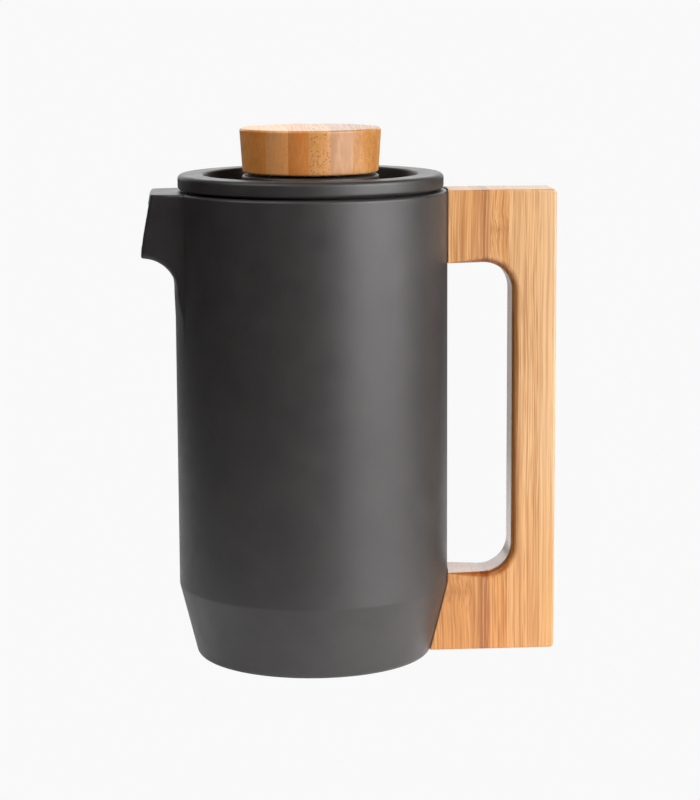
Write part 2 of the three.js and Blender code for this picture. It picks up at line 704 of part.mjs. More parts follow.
const plungerGroup = new THREE.Group();
plungerGroup.add(knobGroup);
plungerGroup.add(piece('plunger_rod', makeRod(), 'steel'));
plungerGroup.add(piece('rod_collar', makeRodCollar(), 'steel'));
plungerGroup.add(piece('spiral_plate', makeSpiralPlate(), 'steel'));
plungerGroup.add(piece('edge_spring', makeEdgeSpring(), 'steel'));
plungerGroup.add(piece('filter_mesh', makeFilterMesh(), 'steel'));
plungerGroup.add(piece('cross_plate', makeCrossPlate(), 'steel'));
plungerGroup.add(piece('filter_nut', makeFilterNut(), 'steel'));

frenchPress.add(potGroup, lidGroup, plungerGroup);

export default frenchPress;
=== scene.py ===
"""Looks for a stoneware french press with a bamboo handle and knob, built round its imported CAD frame.

Shapes are worked out in millimetres and become metres as each mesh is made. The pot's axis is the Z axis,
the handle is on +X and the spout on -X. A size that a node's box gives is read from the frame. The others
repeat the CAD source's numbers, apart from a few rounds and reaches that were fitted again to the photo.
"""

import math

import bmesh
import bpy
from mathutils import Matrix, Vector


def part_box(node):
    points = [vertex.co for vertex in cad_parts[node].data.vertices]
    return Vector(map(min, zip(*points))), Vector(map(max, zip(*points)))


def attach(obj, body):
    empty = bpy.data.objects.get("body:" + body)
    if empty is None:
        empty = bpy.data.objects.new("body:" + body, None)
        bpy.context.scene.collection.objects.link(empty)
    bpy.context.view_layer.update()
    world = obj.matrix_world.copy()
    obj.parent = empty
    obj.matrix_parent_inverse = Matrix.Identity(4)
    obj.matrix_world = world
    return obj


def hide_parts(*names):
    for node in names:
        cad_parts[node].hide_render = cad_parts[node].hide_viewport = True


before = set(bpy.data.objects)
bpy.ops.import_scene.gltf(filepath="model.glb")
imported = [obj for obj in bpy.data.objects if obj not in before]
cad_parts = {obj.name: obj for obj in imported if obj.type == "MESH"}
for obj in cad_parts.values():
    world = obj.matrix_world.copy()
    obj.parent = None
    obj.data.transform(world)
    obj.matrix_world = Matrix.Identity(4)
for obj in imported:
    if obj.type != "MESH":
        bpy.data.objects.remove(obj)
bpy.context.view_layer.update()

MM = 0.001


def low(node):
    """A CAD node's lowest corner, in millimetres."""
    return [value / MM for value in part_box(node)[0]]


def high(node):
    """A CAD node's highest corner, in millimetres."""
    return [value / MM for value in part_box(node)[1]]


def ends(node):
    """The bottom, top and outer radius of an upright round CAD node that is centred on y = 0."""
    return low(node)[2], high(node)[2], high(node)[1]


# ---------------------------------------------------------------- sizes, in millimetres

POT_TOP = 179.5
POT_R = high("pot")[1]
POT_WALL = 4.5
POT_FLOOR = 6.0
BASE_R = 45.1
TAPER_TOP = 28.0
BASE_ROUND = 2.4
RIM_ROUND = 1.2
INNER_ROUND = 6.0
TAPER_SLOPE = (POT_R - BASE_R) / TAPER_TOP
FOOT_RING_INNER = 38.5
FOOT_RECESS = 0.7
WALL_ROWS_Z = (45, 70, 95, 120, 132)
INSIDE_ROWS_Z = (140, 110, 80, 50, 32)

SPOUT_LIP_REACH = -low("pot")[0]
SPOUT_TOP_REACH = 60.9
SPOUT_LIP_Z = 155.2
SPOUT_UNDER_R = 12.4
SPOUT_TIP_HALF = 14.4
SIDE_BOW = 0.3
SPOUT_TIP_REACH = 64.8
TIP_BULGE = 0.5
LOWER_EDGE_ROUND = 2.6
SPOUT_ROOT_R = POT_R - 0.2
SPOUT_UNDER_X = SPOUT_ROOT_R + SPOUT_UNDER_R
SPOUT_LEAN = (SPOUT_LIP_REACH - SPOUT_TOP_REACH) / (POT_TOP - SPOUT_LIP_Z)
ROOT_BLEND = 1.6
SIDE_BLEND = 1.3
INSIDE_BLEND = 1.2
SPOUT_HALF_ANGLE = math.radians(60)
# where a spout side starts and ends in plan, outside and in the channel, from the pot's axis towards -X
SIDE_ENDS = ((48.4, 18.8), (62.5, SPOUT_TIP_HALF))
CHANNEL_ENDS = ((44.5, 13.4), (63.0, 10.6))
MOUTH_FLOOR_Z = 159.0
MOUTH_TOP_Z = 175.0
MOUTH_HALF_ANGLE = 9.66
MOUTH_EDGE_ROUND = 0.8
MOUTH_ROWS = 10

HANDLE_LOW = low("handle")
HANDLE_HIGH = high("handle")
GRIP_X = 76.25
UPPER_ARM_Z = 151.9
LOWER_ARM_Z = 31.5
GRIP_CORNER_R = 11.0
ARM_GAP = 0.36
INNER_EDGE_ROUND = 3.2
OUTER_EDGE_ROUND = 1.1

SCREW_X = (low("upper_handle_screw")[0] + high("upper_handle_screw")[0]) / 2

LID_SEAT = 179.8

KNOB_LOW_Z, KNOB_HIGH_Z, KNOB_TOP_R = ends("knob")
KNOB_LOW_R = 25.8


# ---------------------------------------------------------------- mesh helpers

def add_object(name, data):
    """A new object in the scene."""
    obj = bpy.data.objects.new(name, data)
    bpy.context.scene.collection.objects.link(obj)
    return obj


def new_mesh(name, points_mm, faces):
    """A mesh from points in millimetres."""
    mesh = bpy.data.meshes.new(name)
    mesh.from_pydata([[value * MM for value in point] for point in points_mm], [], faces)
    return mesh


def make_object(name, points_mm, faces):
    """A smooth-shaded mesh object from points in millimetres."""
    mesh = new_mesh(name, points_mm, faces)
    mesh.validate()
    obj = add_object(name, mesh)
    finish_mesh(obj)
    return obj


def finish_mesh(obj):
    """Faces pointing out, welded and smooth."""
    bm = bmesh.new()
    bm.from_mesh(obj.data)
    bmesh.ops.remove_doubles(bm, verts=bm.verts, dist=1e-7)
    bmesh.ops.recalc_face_normals(bm, faces=bm.faces)
    for face in bm.faces:
        face.smooth = True
    bm.to_mesh(obj.data)
    bm.free()


def add_bevel(obj, width, segments=3, angle=35):
    """A rounded edge wherever faces meet at more than an angle."""
    bevel = obj.modifiers.new("edges", "BEVEL")
    bevel.width = width * MM
    bevel.segments = segments
    bevel.limit_method = "ANGLE"
    bevel.angle_limit = math.radians(angle)
    bevel.harden_normals = False


def weight_normals(obj):
    """Keeps large faces flat next to their rounded edges."""
    modifier = obj.modifiers.new("normals", "WEIGHTED_NORMAL")
    modifier.weight = 100
    modifier.keep_sharp = True


def finish_cut(obj, *edges):
    """Smooth shading over a piece that has been cut, and add_bevel's width, segments and angle if given."""
    for polygon in obj.data.polygons:
        polygon.use_smooth = True
    if edges:
        add_bevel(obj, *edges)
    weight_normals(obj)
    return obj


def boolean(obj, other, operation):
    """Joins or cuts obj with other, which is then removed."""
    modifier = obj.modifiers.new("cut", "BOOLEAN")
    modifier.operation = operation
    modifier.solver = "EXACT"
    modifier.object = other
    apply_modifiers(obj)
    bpy.data.objects.remove(other)


def apply_modifiers(obj):
    """Turns the object's modifiers into its mesh."""
    graph = bpy.context.evaluated_depsgraph_get()
    graph.update()
    made = bpy.data.meshes.new_from_object(obj.evaluated_get(graph))
    obj.modifiers.clear()
    old = obj.data
    obj.data = made
    bpy.data.meshes.remove(old)


def arc(centre, radius, start, end, steps):
    """Points of an arc between two angles in degrees."""
    points = []
    for i in range(steps + 1):
        angle = math.radians(start + (end - start) * i / steps)
        points.append((centre[0] + radius * math.cos(angle), centre[1] + radius * math.sin(angle)))
    return points


def rounded(corners, closed, steps=4):
    """An outline of (a, b, round) corners, each corner turned into an arc of its round."""
    count = len(corners)
    outline = []
    for i, (x, y, radius) in enumerate(corners):
        at_end = not closed and i in (0, count - 1)
        if radius <= 0 or at_end:
            outline.append((x, y))
            continue
        here = Vector((x, y))
        back = Vector(corners[i - 1][:2]) - here
        ahead = Vector(corners[(i + 1) % count][:2]) - here
        half = back.angle(ahead) / 2
        if half > math.radians(89.5):
            outline.append((x, y))
            continue
        reach = min(radius / math.tan(half), back.length * 0.49, ahead.length * 0.49)
        fitted = reach * math.tan(half)
        middle = (back.normalized() + ahead.normalized()).normalized()
        centre = here + middle * (fitted / math.sin(half))
        first = here + back.normalized() * reach - centre
        last = here + ahead.normalized() * reach - centre
        turn = first.angle_signed(last)
        for k in range(steps + 1):
            spun = Matrix.Rotation(-turn * k / steps, 2) @ first
            outline.append((centre.x + spun.x, centre.y + spun.y))
    return outline


def skin(rows, holes=()):
    """Faces between rows of point numbers, each row closed on itself. Points may repeat, as on an axis.
    holes has the (row, place) of each face to leave out."""
    faces = []
    for j, (below, above) in enumerate(zip(rows, rows[1:])):
        for k in range(len(below)):
            after = (k + 1) % len(below)
            face = list(dict.fromkeys([below[k], below[after], above[after], above[k]]))
            if len(face) > 2 and (j, k) not in holes:
                faces.append(face)
    return faces


def rows_of(count, length):
    """Point numbers in rows of one length."""
    return [range(i * length, (i + 1) * length) for i in range(count)]


def capped(rows):
    """Faces between the rows, and one over each end."""
    return skin(rows) + [tuple(rows[0]), tuple(reversed(rows[-1]))]


def swept(rows, angles):
    """Points round the axis from each row's (radius, z) at each angle, and their numbers row by row.
    A row on the axis has one point."""
    points, index = [], []
    for row in rows:
        numbers = []
        for angle, (radius, z) in zip(angles, row):
            if radius < 1e-6 and numbers:
                numbers.append(numbers[0])
                continue
            numbers.append(len(points))
            points.append((radius * math.cos(angle), radius * math.sin(angle), z))
        index.append(numbers)
    return points, index


def turned(name, corners, segments=96, ring=False, steps=4):
    """A turned piece from (radius, z, round) corners. A ring's outline closes on itself, and any other
    starts and ends on the axis."""
    angles = [2 * math.pi * k / segments for k in range(segments)]
    points, rows = swept([[corner] * segments for corner in rounded(corners, ring, steps)], angles)
    obj = make_object(name, points, skin(rows + rows[:1] if ring else rows))
    weight_normals(obj)
    return obj


def mirrored(corners, bottom, top):
    """A ring's (radius, rise, round) corners from its bottom, and the same down from its top."""
    return ([(radius, bottom + rise, edge) for radius, rise, edge in corners] +
            [(radius, top - rise, edge) for radius, rise, edge in reversed(corners)])


def drill(obj, radius, bottom, top, x, y, segments):
    """Cuts an upright round hole."""
    tool = turned("drill", [(0, bottom, 0), (radius, bottom, 0), (radius, top, 0), (0, top, 0)], segments)
    tool.location = (x * MM, y * MM, 0)
    boolean(obj, tool, "DIFFERENCE")


def prism(name, outline, bottom, top):
    """An upright solid over an outline of (x, y) points."""
    points = [(x, y, z) for z in (bottom, top) for x, y in outline]
    return make_object(name, points, capped(rows_of(2, len(outline))))


def block(name, low_corner, high_corner):
    """A block from its corners, for joining and cutting."""
    (x_low, y_low, z_low), (x_high, y_high, z_high) = low_corner, high_corner
    outline = [(x_low, y_low), (x_high, y_low), (x_high, y_high), (x_low, y_high)]
    return prism(name, outline, z_low, z_high)


def place(obj, body, material, node):
    """Hangs a finished piece on its body and material, in place of its CAD node."""
    obj.data.materials.clear()
    obj.data.materials.append(material)
    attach(obj, body)
    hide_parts(node)


def second_material(obj, material, chosen):
    """Gives the chosen faces another material."""
    obj.data.materials.append(material)
    for polygon in obj.data.polygons:
        if chosen(polygon):
            polygon.material_index = 1


# ---------------------------------------------------------------- node graph helper

class Graph:
    """A short way to write the nodes of a new material, or of an owner such as the world. A value may be
    a number, a colour or another node's output."""

    def __init__(self, name, owner=None):
        self.owner = owner or bpy.data.materials.new(name)
        self.owner.use_nodes = True
        self.tree = self.owner.node_tree
        self.shader = self.tree.nodes.get("Principled BSDF")

    def node(self, kind, *values, **settings):
        """A new node with its settings, and values for its first inputs. None leaves an input as it is."""
        made = self.tree.nodes.new(kind)
        for key, value in settings.items():
            setattr(made, key, value)
        for socket, value in zip(made.inputs, values):
            self.feed(socket, value)
        return made

    def feed(self, socket, value):
        if isinstance(value, bpy.types.NodeSocket):
            self.tree.links.new(value, socket)
        elif value is not None:
            socket.default_value = value

    def math(self, operation, a, b=None, c=None):
        return self.node("ShaderNodeMath", a, b, c, operation=operation).outputs[0]

    def times(self, a, b):
        return self.math("MULTIPLY", a, b)

    def plus(self, a, b):
        return self.math("ADD", a, b)

    def minus(self, a, b):
        return self.math("SUBTRACT", a, b)

    def size(self, a):
        return self.math("ABSOLUTE", a)

    def length(self, x, y):
        return self.math("SQRT", self.plus(self.times(x, x), self.times(y, y)))

    def position(self):
        return self.node("ShaderNodeTexCoord").outputs["Object"]

    def split(self, vector):
        return tuple(self.node("ShaderNodeSeparateXYZ", vector).outputs)

    def join(self, x, y, z):
        return self.node("ShaderNodeCombineXYZ", x, y, z).outputs[0]

    def texture(self, kind, output, **inputs):
        made = self.node(kind)
        for key, value in inputs.items():
            self.feed(made.inputs[key], value)
        return made.outputs[output]

    def noise(self, vector, scale, detail=2.0, roughness=0.5):
        return self.texture("ShaderNodeTexNoise", "Fac", Vector=vector, Scale=scale, Detail=detail,
                            Roughness=roughness)

    def cells(self, vector, scale, randomness=1.0):
        return self.texture("ShaderNodeTexVoronoi", "Distance", Vector=vector, Scale=scale,
                            Randomness=randomness)

    def steps(self, value, starts, colours):
        """Each colour from its start, between 0 and 1, up to the next one's."""
        made = self.node("ShaderNodeValToRGB", value)
        made.color_ramp.interpolation = "CONSTANT"
        elements = made.color_ramp.elements
        while len(elements) < len(starts):
            elements.new(0.5)
        for element, start, colour in zip(elements, starts, colours):
            element.position = start
            element.color = (*colour, 1)
        return made.outputs["Color"]

    def tinted(self, factor, base, colour):
        """The base multiplied by a colour, by a factor from 0 to 1."""
        return self.mix(factor, base, self.mix(1.0, base, colour, "MULTIPLY"))

    def mix(self, factor, a, b, blend="MIX"):
        made = self.node("ShaderNodeMix", data_type="RGBA", blend_type=blend)
        self.feed(made.inputs[0], factor)
        self.feed(made.inputs[6], (*a, 1) if isinstance(a, tuple) else a)
        self.feed(made.inputs[7], (*b, 1) if isinstance(b, tuple) else b)
        return made.outputs[2]

    def remap(self, value, from_low, from_high, to_low, to_high, interpolation="LINEAR"):
        return self.node("ShaderNodeMapRange", value, from_low, from_high, to_low, to_high,
                         interpolation_type=interpolation).outputs[0]

    def spread(self, noise, low_end, high_end):
        """Takes a noise's usual range to another range."""
        return self.remap(noise, 0.3, 0.7, low_end, high_end)

    def bump(self, height, distance_mm, strength, under=None):
        return self.texture("ShaderNodeBump", 0, Strength=strength, Distance=distance_mm * MM, Height=height,
                            Normal=under)

    def set(self, **sockets):
        for key, value in sockets.items():
            self.feed(self.shader.inputs[key.replace("_", " ")], value)
        return self.owner

    def show(self, lit, seen, output):
        """One shader for the light and another for what the camera sees directly."""
        at_camera = self.node("ShaderNodeLightPath").outputs["Is Camera Ray"]
        mix = self.node("ShaderNodeMixShader", at_camera, lit.outputs[0], seen.outputs[0])
        self.feed(self.tree.nodes[output].inputs["Surface"], mix.outputs[0])


def shaded(colour, factor):
    """A colour made darker or lighter."""
    return tuple(value * factor for value in colour)


# ---------------------------------------------------------------- materials

def stoneware():
    """Matt black fired clay: fine tooth, faint mottling and a slightly uneven sheen."""
    g = Graph("stoneware")
    at = g.position()
    mottle = g.noise(at, 55, 4, 0.6)
    tooth = g.noise(at, 2600, 3, 0.6)
    grit = g.cells(at, 900)
    colour = g.mix(g.spread(mottle, 0, 1), (0.0172, 0.0152, 0.0150), (0.0252, 0.0222, 0.0218))
    speck = g.remap(grit, 0.0, 0.09, 0.35, 0)
    colour = g.mix(speck, colour, (0.055, 0.05, 0.046))
    roughness = g.spread(g.noise(at, 130, 3, 0.6), 0.42, 0.5)
    normal = g.bump(tooth, 0.035, 0.5)
    normal = g.bump(mottle, 0.12, 0.25, under=normal)
    return g.set(Base_Color=colour, Roughness=roughness, Normal=normal)


def foot_clay():
    """The unglazed, slightly paler clay under the pot."""
    g = Graph("foot_clay")
    at = g.position()
    mottle = g.noise(at, 160, 5, 0.7)
    tooth = g.noise(at, 1800, 3, 0.7)
    colour = g.mix(g.spread(mottle, 0, 1), (0.045, 0.04, 0.036), (0.075, 0.068, 0.06))
    return g.set(Base_Color=colour, Roughness=0.85, Normal=g.bump(tooth, 0.08, 0.6))


HONEY = (0.5, 0.246, 0.087)
AMBER = (0.395, 0.18, 0.062)
RUST = (0.28, 0.1, 0.03)
STRAW = (0.505, 0.292, 0.137)
CREAM = (0.51, 0.31, 0.156)
LIGHT_FIBRE = (0.62, 0.38, 0.185)
DARK_FIBRE = (0.28, 0.11, 0.032)
DARK_DOT = (0.27, 0.1, 0.026)
JOINT_LINE = (0.26, 0.1, 0.028)
JOINT_FLECK = (0.31, 0.122, 0.033)
GLUE = (0.2, 0.08, 0.025)
LAST_STRIP_WIDTH = 12.0
JOINT_SPAN = 200.0
NO_JOINT = -JOINT_SPAN
# how fast a joint's feathering and its dark ring fade along the cane, per square metre
FEATHER_FADE = 14000.0
RING_FADE = 400000.0

# each strip: where it starts across, its tint, where along it the cane had a joint, within JOINT_SPAN of
# the origin, and how strongly its fibre bundles show (0 to 1)
HANDLE_STRIPS = [
    (44.0, HONEY, 24.0, 0.5),
    (60.9, AMBER, NO_JOINT, 0.5),
    (64.2, RUST, NO_JOINT, 0.2),
    (67.3, HONEY, 165.0, 0.8),
    (74.6, STRAW, NO_JOINT, 0.5),
    (86.9, CREAM, NO_JOINT, 0.12),
]
# The two left strips' tints are partly painted light: their tone is their own, but it is raised well above
# the others to stand in for the light on the knob's left side.
KNOB_STRIPS = [
    (-34.0, (0.9, 0.355, 0.076), NO_JOINT, 0.1),
    (-17.8, (0.86, 0.42, 0.155), 9.0, 0.15),
    (-9.5, (0.62, 0.245, 0.058), NO_JOINT, 0.2),
    (-2.1, (0.6, 0.315, 0.105), NO_JOINT, 1.0),
    (6.2, (0.42, 0.225, 0.1), NO_JOINT, 0.1),
    (14.7, (0.42, 0.192, 0.044), -11.0, 0.35),
]


def bamboo(name, across, deep, along, strips, seed_shift, end_tone, grain_show, deep_scale):
    """Laminated bamboo. across, deep and along say which axis (0, 1, 2) runs across the strips, through
    their depth and along the grain. end_tone is how far cut ends darken and grain_show how strongly the
    grain shows on the long faces, both 0 to 1. deep_scale stretches the grain through the depth."""
    g = Graph(name)
    axes = g.split(g.position())
    u, v, w = (axes[i] for i in (across, deep, along))
    first, last = strips[0][0], strips[-1][0] + LAST_STRIP_WIDTH
    share = g.remap(u, first * MM, last * MM, 0.0, 1.0)
    stops = [(start - first) / (last - first) for start, tint, joint, bundles in strips]
    base = g.steps(share, stops, [tint for start, tint, joint, bundles in strips])
    facts = [((joint + JOINT_SPAN) / (2 * JOINT_SPAN), bundles, ((i * 7 + seed_shift) % 11) / 11)
             for i, (start, tint, joint, bundles) in enumerate(strips)]
    joint_share, bundle_show, seed = g.split(g.steps(share, stops, facts))

    # the grain drifts slowly, and feathers where the cane had a joint
    joint_at = g.math("MULTIPLY_ADD", joint_share, 2 * JOINT_SPAN * MM, -JOINT_SPAN * MM)
    from_joint = g.minus(w, joint_at)
    squared = g.times(from_joint, from_joint)
    feather = g.math("POWER", math.e, g.times(squared, -FEATHER_FADE))
    ring = g.math("POWER", math.e, g.times(squared, -RING_FADE))
    drift = g.times(g.minus(g.noise(g.join(seed, 0.0, w), 11, 1), 0.5), 0.005)
    chevron = g.times(g.times(feather, g.size(from_joint)), 0.18)
    ripple_at = g.join(u, v, g.times(w, 0.35))
    ruffle = g.times(feather, g.minus(g.noise(ripple_at, 700, 2), 0.5))
    moved = g.plus(g.plus(u, drift), g.math("MULTIPLY_ADD", ruffle, 0.0009, chevron))
    u_grain = g.plus(moved, seed)
    long_grain = g.join(u_grain, g.times(v, deep_scale), g.times(w, 0.008))
    fibre_grain = g.join(u_grain, v, g.times(w, 0.05))

    normal = g.split(g.node("ShaderNodeTexCoord").outputs["Normal"])
    cut_end = g.remap(g.size(normal[along]), 0.25, 0.95, 0, 1)
    calm = g.times(g.remap(cut_end, 0, 1, grain_show, 0.3),
                   g.remap(bundle_show, 0.1, 0.5, 0.6, 1.0))
    broad = g.noise(long_grain, 330, 3, 0.6)
    base = g.mix(g.remap(broad, 0.5, 0.72, 0, 0.5), base, LIGHT_FIBRE)
    base = g.mix(g.times(g.remap(broad, 0.5, 0.3, 0, 0.4), calm), base, DARK_FIBRE)
    streak = g.noise(long_grain, 1400, 3, 0.75)
    base = g.mix(g.times(g.remap(streak, 0.5, 0.6, 0, 0.65), calm), base, DARK_FIBRE)
    base = g.mix(g.times(g.remap(streak, 0.48, 0.38, 0, 0.65), calm), base, LIGHT_FIBRE)
    spots = g.cells(fibre_grain, 930, 0.85)
    bundle = g.times(g.remap(spots, 0.15, 0.45, 1, 0), bundle_show)
    base = g.mix(g.times(bundle, 0.75), base, DARK_DOT)
    base = g.mix(g.times(ring, 0.3), base, JOINT_LINE)
    fleck_at = g.join(u_grain, v, g.times(w, 0.14))
    fleck = g.remap(g.noise(fleck_at, 1500, 1, 0.5), 0.54, 0.66, 0.1, 0.9)
    base = g.mix(g.times(feather, fleck), base, JOINT_FLECK)

    # cut ends of the fibres take the oil deeper
    base = g.tinted(g.times(cut_end, end_tone), base, (0.6, 0.42, 0.26))

    # a thin glue line at each strip's edge
    nearest = None
    for start, tint, joint, bundles in strips[1:]:
        gap = g.size(g.minus(u, start * MM))
        nearest = gap if nearest is None else g.math("MINIMUM", nearest, gap)
    glue = g.remap(nearest, 0.00004, 0.0002, 0.14, 0)
    base = g.mix(glue, base, GLUE)
    return g, base, streak, bundle, normal


def finish_bamboo(g, base, streak, bundle, polish):
    """Satin oil over the fibres, smoother where polish is 1."""
    roughness = g.math("MULTIPLY_ADD", polish, -0.15, g.remap(streak, 0.3, 0.75, 0.33, 0.45))
    height = g.minus(g.times(streak, -0.6), g.times(bundle, 0.5))
    return g.set(Base_Color=base, Roughness=roughness, Normal=g.bump(height, 0.04, 0.5))


def handle_bamboo():
    """The handle's wood: deeper towards its foot, smoother round the finger gap, and with painted shade, a
    darker burnt orange, on the gap's rounded edges.
    """
    g, base, streak, bundle, normal = bamboo("handle_bamboo", 0, 1, 2, HANDLE_STRIPS, 3, 0.15, 1.0, 1.0)
    x, y, z = g.split(g.position())
    low_down = g.remap(z, 0.08, 0.02, 0, 1)
    base = g.tinted(low_down, base, (0.86, 0.74, 0.55))
    side = g.size(normal[1])
    near_gap = g.math("LESS_THAN", x, (GRIP_X + INNER_EDGE_ROUND + 0.3) * MM)
    above = g.math("GREATER_THAN", z, (LOWER_ARM_Z - INNER_EDGE_ROUND - 0.3) * MM)
    below = g.math("LESS_THAN", z, (UPPER_ARM_Z + INNER_EDGE_ROUND + 0.3) * MM)
    not_flat = g.remap(side, 0.995, 0.85, 0, 1)
    in_gap = g.times(g.times(not_flat, near_gap), g.times(above, below))
    # painted shade: the rounded edges round the finger gap are darkened to a burnt orange
    painted_edge_shade = g.times(in_gap, g.remap(side, 0.05, 0.3, 0, 1))
    base = g.tinted(painted_edge_shade, base, (0.74, 0.52, 0.33))
    return finish_bamboo(g, base, streak, bundle, in_gap)


def knob_bamboo():
    """The knob's wood, with its grain running from front to back."""
    g, base, streak, bundle, normal = bamboo("knob_bamboo", 0, 2, 1, KNOB_STRIPS, 5, 0.6, 0.7, 0.2)
    return finish_bamboo(g, base, streak, bundle, 0.0)


def steel(name, colour=(0.62, 0.61, 0.6), rough=0.26, fine=5200, relief=0.35):
    """Turned or brushed stainless steel, its marks running round the piece."""
    g = Graph(name)
    x, y, z = g.split(g.position())
    radius = g.length(x, y)
    marks = g.noise(g.join(radius, 0.0, z), fine, 2, 0.7)
    patches = g.noise(g.position(), 90, 3, 0.5)
    tint = g.mix(g.spread(patches, 0, 0.5), colour, shaded(colour, 0.86))
    spread = 0.3 * relief
    roughness = g.plus(g.spread(marks, rough - spread / 2, rough + spread),
                       g.spread(patches, 0, 0.06))
    return g.set(Base_Color=tint, Metallic=1.0, Roughness=roughness, Normal=g.bump(marks, 0.02, relief))


WIRE_PITCH = 0.7


def woven_wire():
    """Fine square-woven stainless mesh, with painted shade in its holes: the openings between the wires are
    painted dark.
    """
    g = Graph("woven_wire")
    x, y, z = g.split(g.position())
    pitch = 2 * math.pi / (WIRE_PITCH * MM)
    warp = g.math("SINE", g.times(x, pitch))
    weft = g.math("SINE", g.times(y, pitch))
    over = g.times(warp, weft)
    wire = g.math("MAXIMUM", g.size(warp), g.size(weft))
    # painted shade: the openings between the wires are painted dark, for the shade seen through them
    colour = g.mix(g.remap(wire, 0.35, 0.75, 1, 0), (0.6, 0.59, 0.57), (0.08, 0.08, 0.08))
    height = g.math("MULTIPLY_ADD", over, 0.5, wire)
    return g.set(Base_Color=colour, Metallic=1.0, Roughness=0.34, Normal=g.bump(height, 0.15, 0.8))


def rubbery(name, colour, rough):
    """Moulded silicone or rubber with a faint skin."""
    g = Graph(name)
    at = g.position()
    cloud = g.noise(at, 140, 3, 0.5)
    skin = g.noise(at, 1900, 2, 0.5)
    tint = g.mix(g.spread(cloud, 0, 1), colour, shaded(colour, 1.5))
    roughness = g.spread(skin, rough - 0.05, rough + 0.07)
    return g.set(Base_Color=tint, Roughness=roughness, Normal=g.bump(skin, 0.03, 0.4))


CLAY = stoneware()
FOOT = foot_clay()
HANDLE_WOOD = handle_bamboo()
KNOB_WOOD = knob_bamboo()
STEEL = steel("brushed_stainless")
BRIGHT_STEEL = steel("polished_rod", (0.68, 0.67, 0.66), 0.3, 3200, 0.02)
BRASS = steel("turned_brass", (0.72, 0.5, 0.22), 0.3)
WIRE = woven_wire()
SILICONE = rubbery("silicone", (0.03, 0.03, 0.03), 0.5)
PAD_RUBBER = rubbery("joint_rubber", (0.09, 0.05, 0.03), 0.7)


# ---------------------------------------------------------------- pot

def soft_max(a, b, width):
    """The larger of two numbers, with a rounded step between them."""
    if abs(a - b) >= width:
        return max(a, b)
    h = 0.5 + 0.5 * (a - b) / width
    return b + (a - b) * h + width * h * (1 - h)


def soft_min(a, b, width):
    return -soft_max(-a, -b, width)


def wall_radius(z, offset=0.0):
    """The pot's outside radius at a height, without its rounded edges."""
    return min(POT_R, BASE_R + TAPER_SLOPE * z) + offset


def side_circle(root, tip):
    """Centre and radius of the arc that a spout's side follows in plan, from root to tip, bowing out."""
    root, tip = Vector(root), Vector(tip)
    chord = tip - root
    normal = Vector((-chord.y, chord.x)).normalized()
    if normal.y < 0:
        normal = -normal
    radius = (chord.length / 2) ** 2 / (2 * SIDE_BOW) + SIDE_BOW / 2
    return (root + tip) / 2 - normal * (radius - SIDE_BOW), radius


def lower_edge_inset(x, z):
    """How far the spout's side stands in near its underside, which rounds the edge between them."""
    if x >= SPOUT_UNDER_X:
        from_edge = z - SPOUT_LIP_Z
    else:
        from_edge = math.hypot(x - SPOUT_UNDER_X, z - SPOUT_LIP_Z + SPOUT_UNDER_R) - SPOUT_UNDER_R
    share = 1 - min(max(from_edge / LOWER_EDGE_ROUND, 0.0), 1.0)
    return LOWER_EDGE_ROUND * (1 - math.sqrt(1 - share * share))


def side_reach(angle, circle, z=None):
    """How far out a spout side lies, seen from the axis at an angle from -X."""
    centre, radius = circle
    near, far = 0.8 * POT_R, 1.6 * POT_R
    for halving in range(26):
        reach = (near + far) / 2
        x = reach * math.cos(angle)
        half_width = centre.y + math.sqrt(max(radius ** 2 - (x - centre.x) ** 2, 0.0))
        if z is not None:
            half_width -= lower_edge_inset(x, z)
        if reach * math.sin(abs(angle)) > half_width:
            far = reach
        else:
            near = reach
    return near


def face_reach(z):
    """The reach of the spout's end face at a height."""
    return soft_min(SPOUT_TOP_REACH + SPOUT_LEAN * (POT_TOP - z), SPOUT_TIP_REACH, 1.2)


def prow(angle, reach):
    """The radius at an angle of a spout end that bulges by TIP_BULGE between its sides."""
    squared = TIP_BULGE * (math.sin(angle) / SPOUT_TIP_HALF) ** 2
    if squared < 1e-9:
        return reach / math.cos(angle)
    return (-math.cos(angle) + math.sqrt(math.cos(angle) ** 2 + 4 * squared * reach)) / (2 * squared)


def pot_columns():
    """Angles from -X round the pot, close together where the spout's sides stand."""
    half = [0.0]
    for end, step in ((8.0, 1.0), (25.0, 0.34), (40.0, 1.5), (180.0, 2.5)):
        while half[-1] < end - 1e-6:
            half.append(min(half[-1] + step, end))
    left = [-angle for angle in reversed(half[1:-1])]
    return [math.radians(angle) for angle in left + half]


def spout_outer_rows():
    """(reach, z) of the spout's outside along its middle, up to where the rim starts to round."""
    under_centre = (SPOUT_UNDER_X, SPOUT_LIP_Z - SPOUT_UNDER_R)
    corners = [
        (SPOUT_ROOT_R, under_centre[1] - 2, 0),
        (SPOUT_ROOT_R, under_centre[1], 0),
    ]
    corners += [(x, z, 0) for x, z in arc(under_centre, SPOUT_UNDER_R, 180, 93, 16)[1:]]
    corners += [
        (SPOUT_UNDER_X, SPOUT_LIP_Z, 0),
        (SPOUT_TIP_REACH, SPOUT_LIP_Z + 0.25, 0.55),
        (SPOUT_TOP_REACH + SPOUT_LEAN * RIM_ROUND, POT_TOP - RIM_ROUND, 0),
    ]
    return rounded(corners, False, 5)


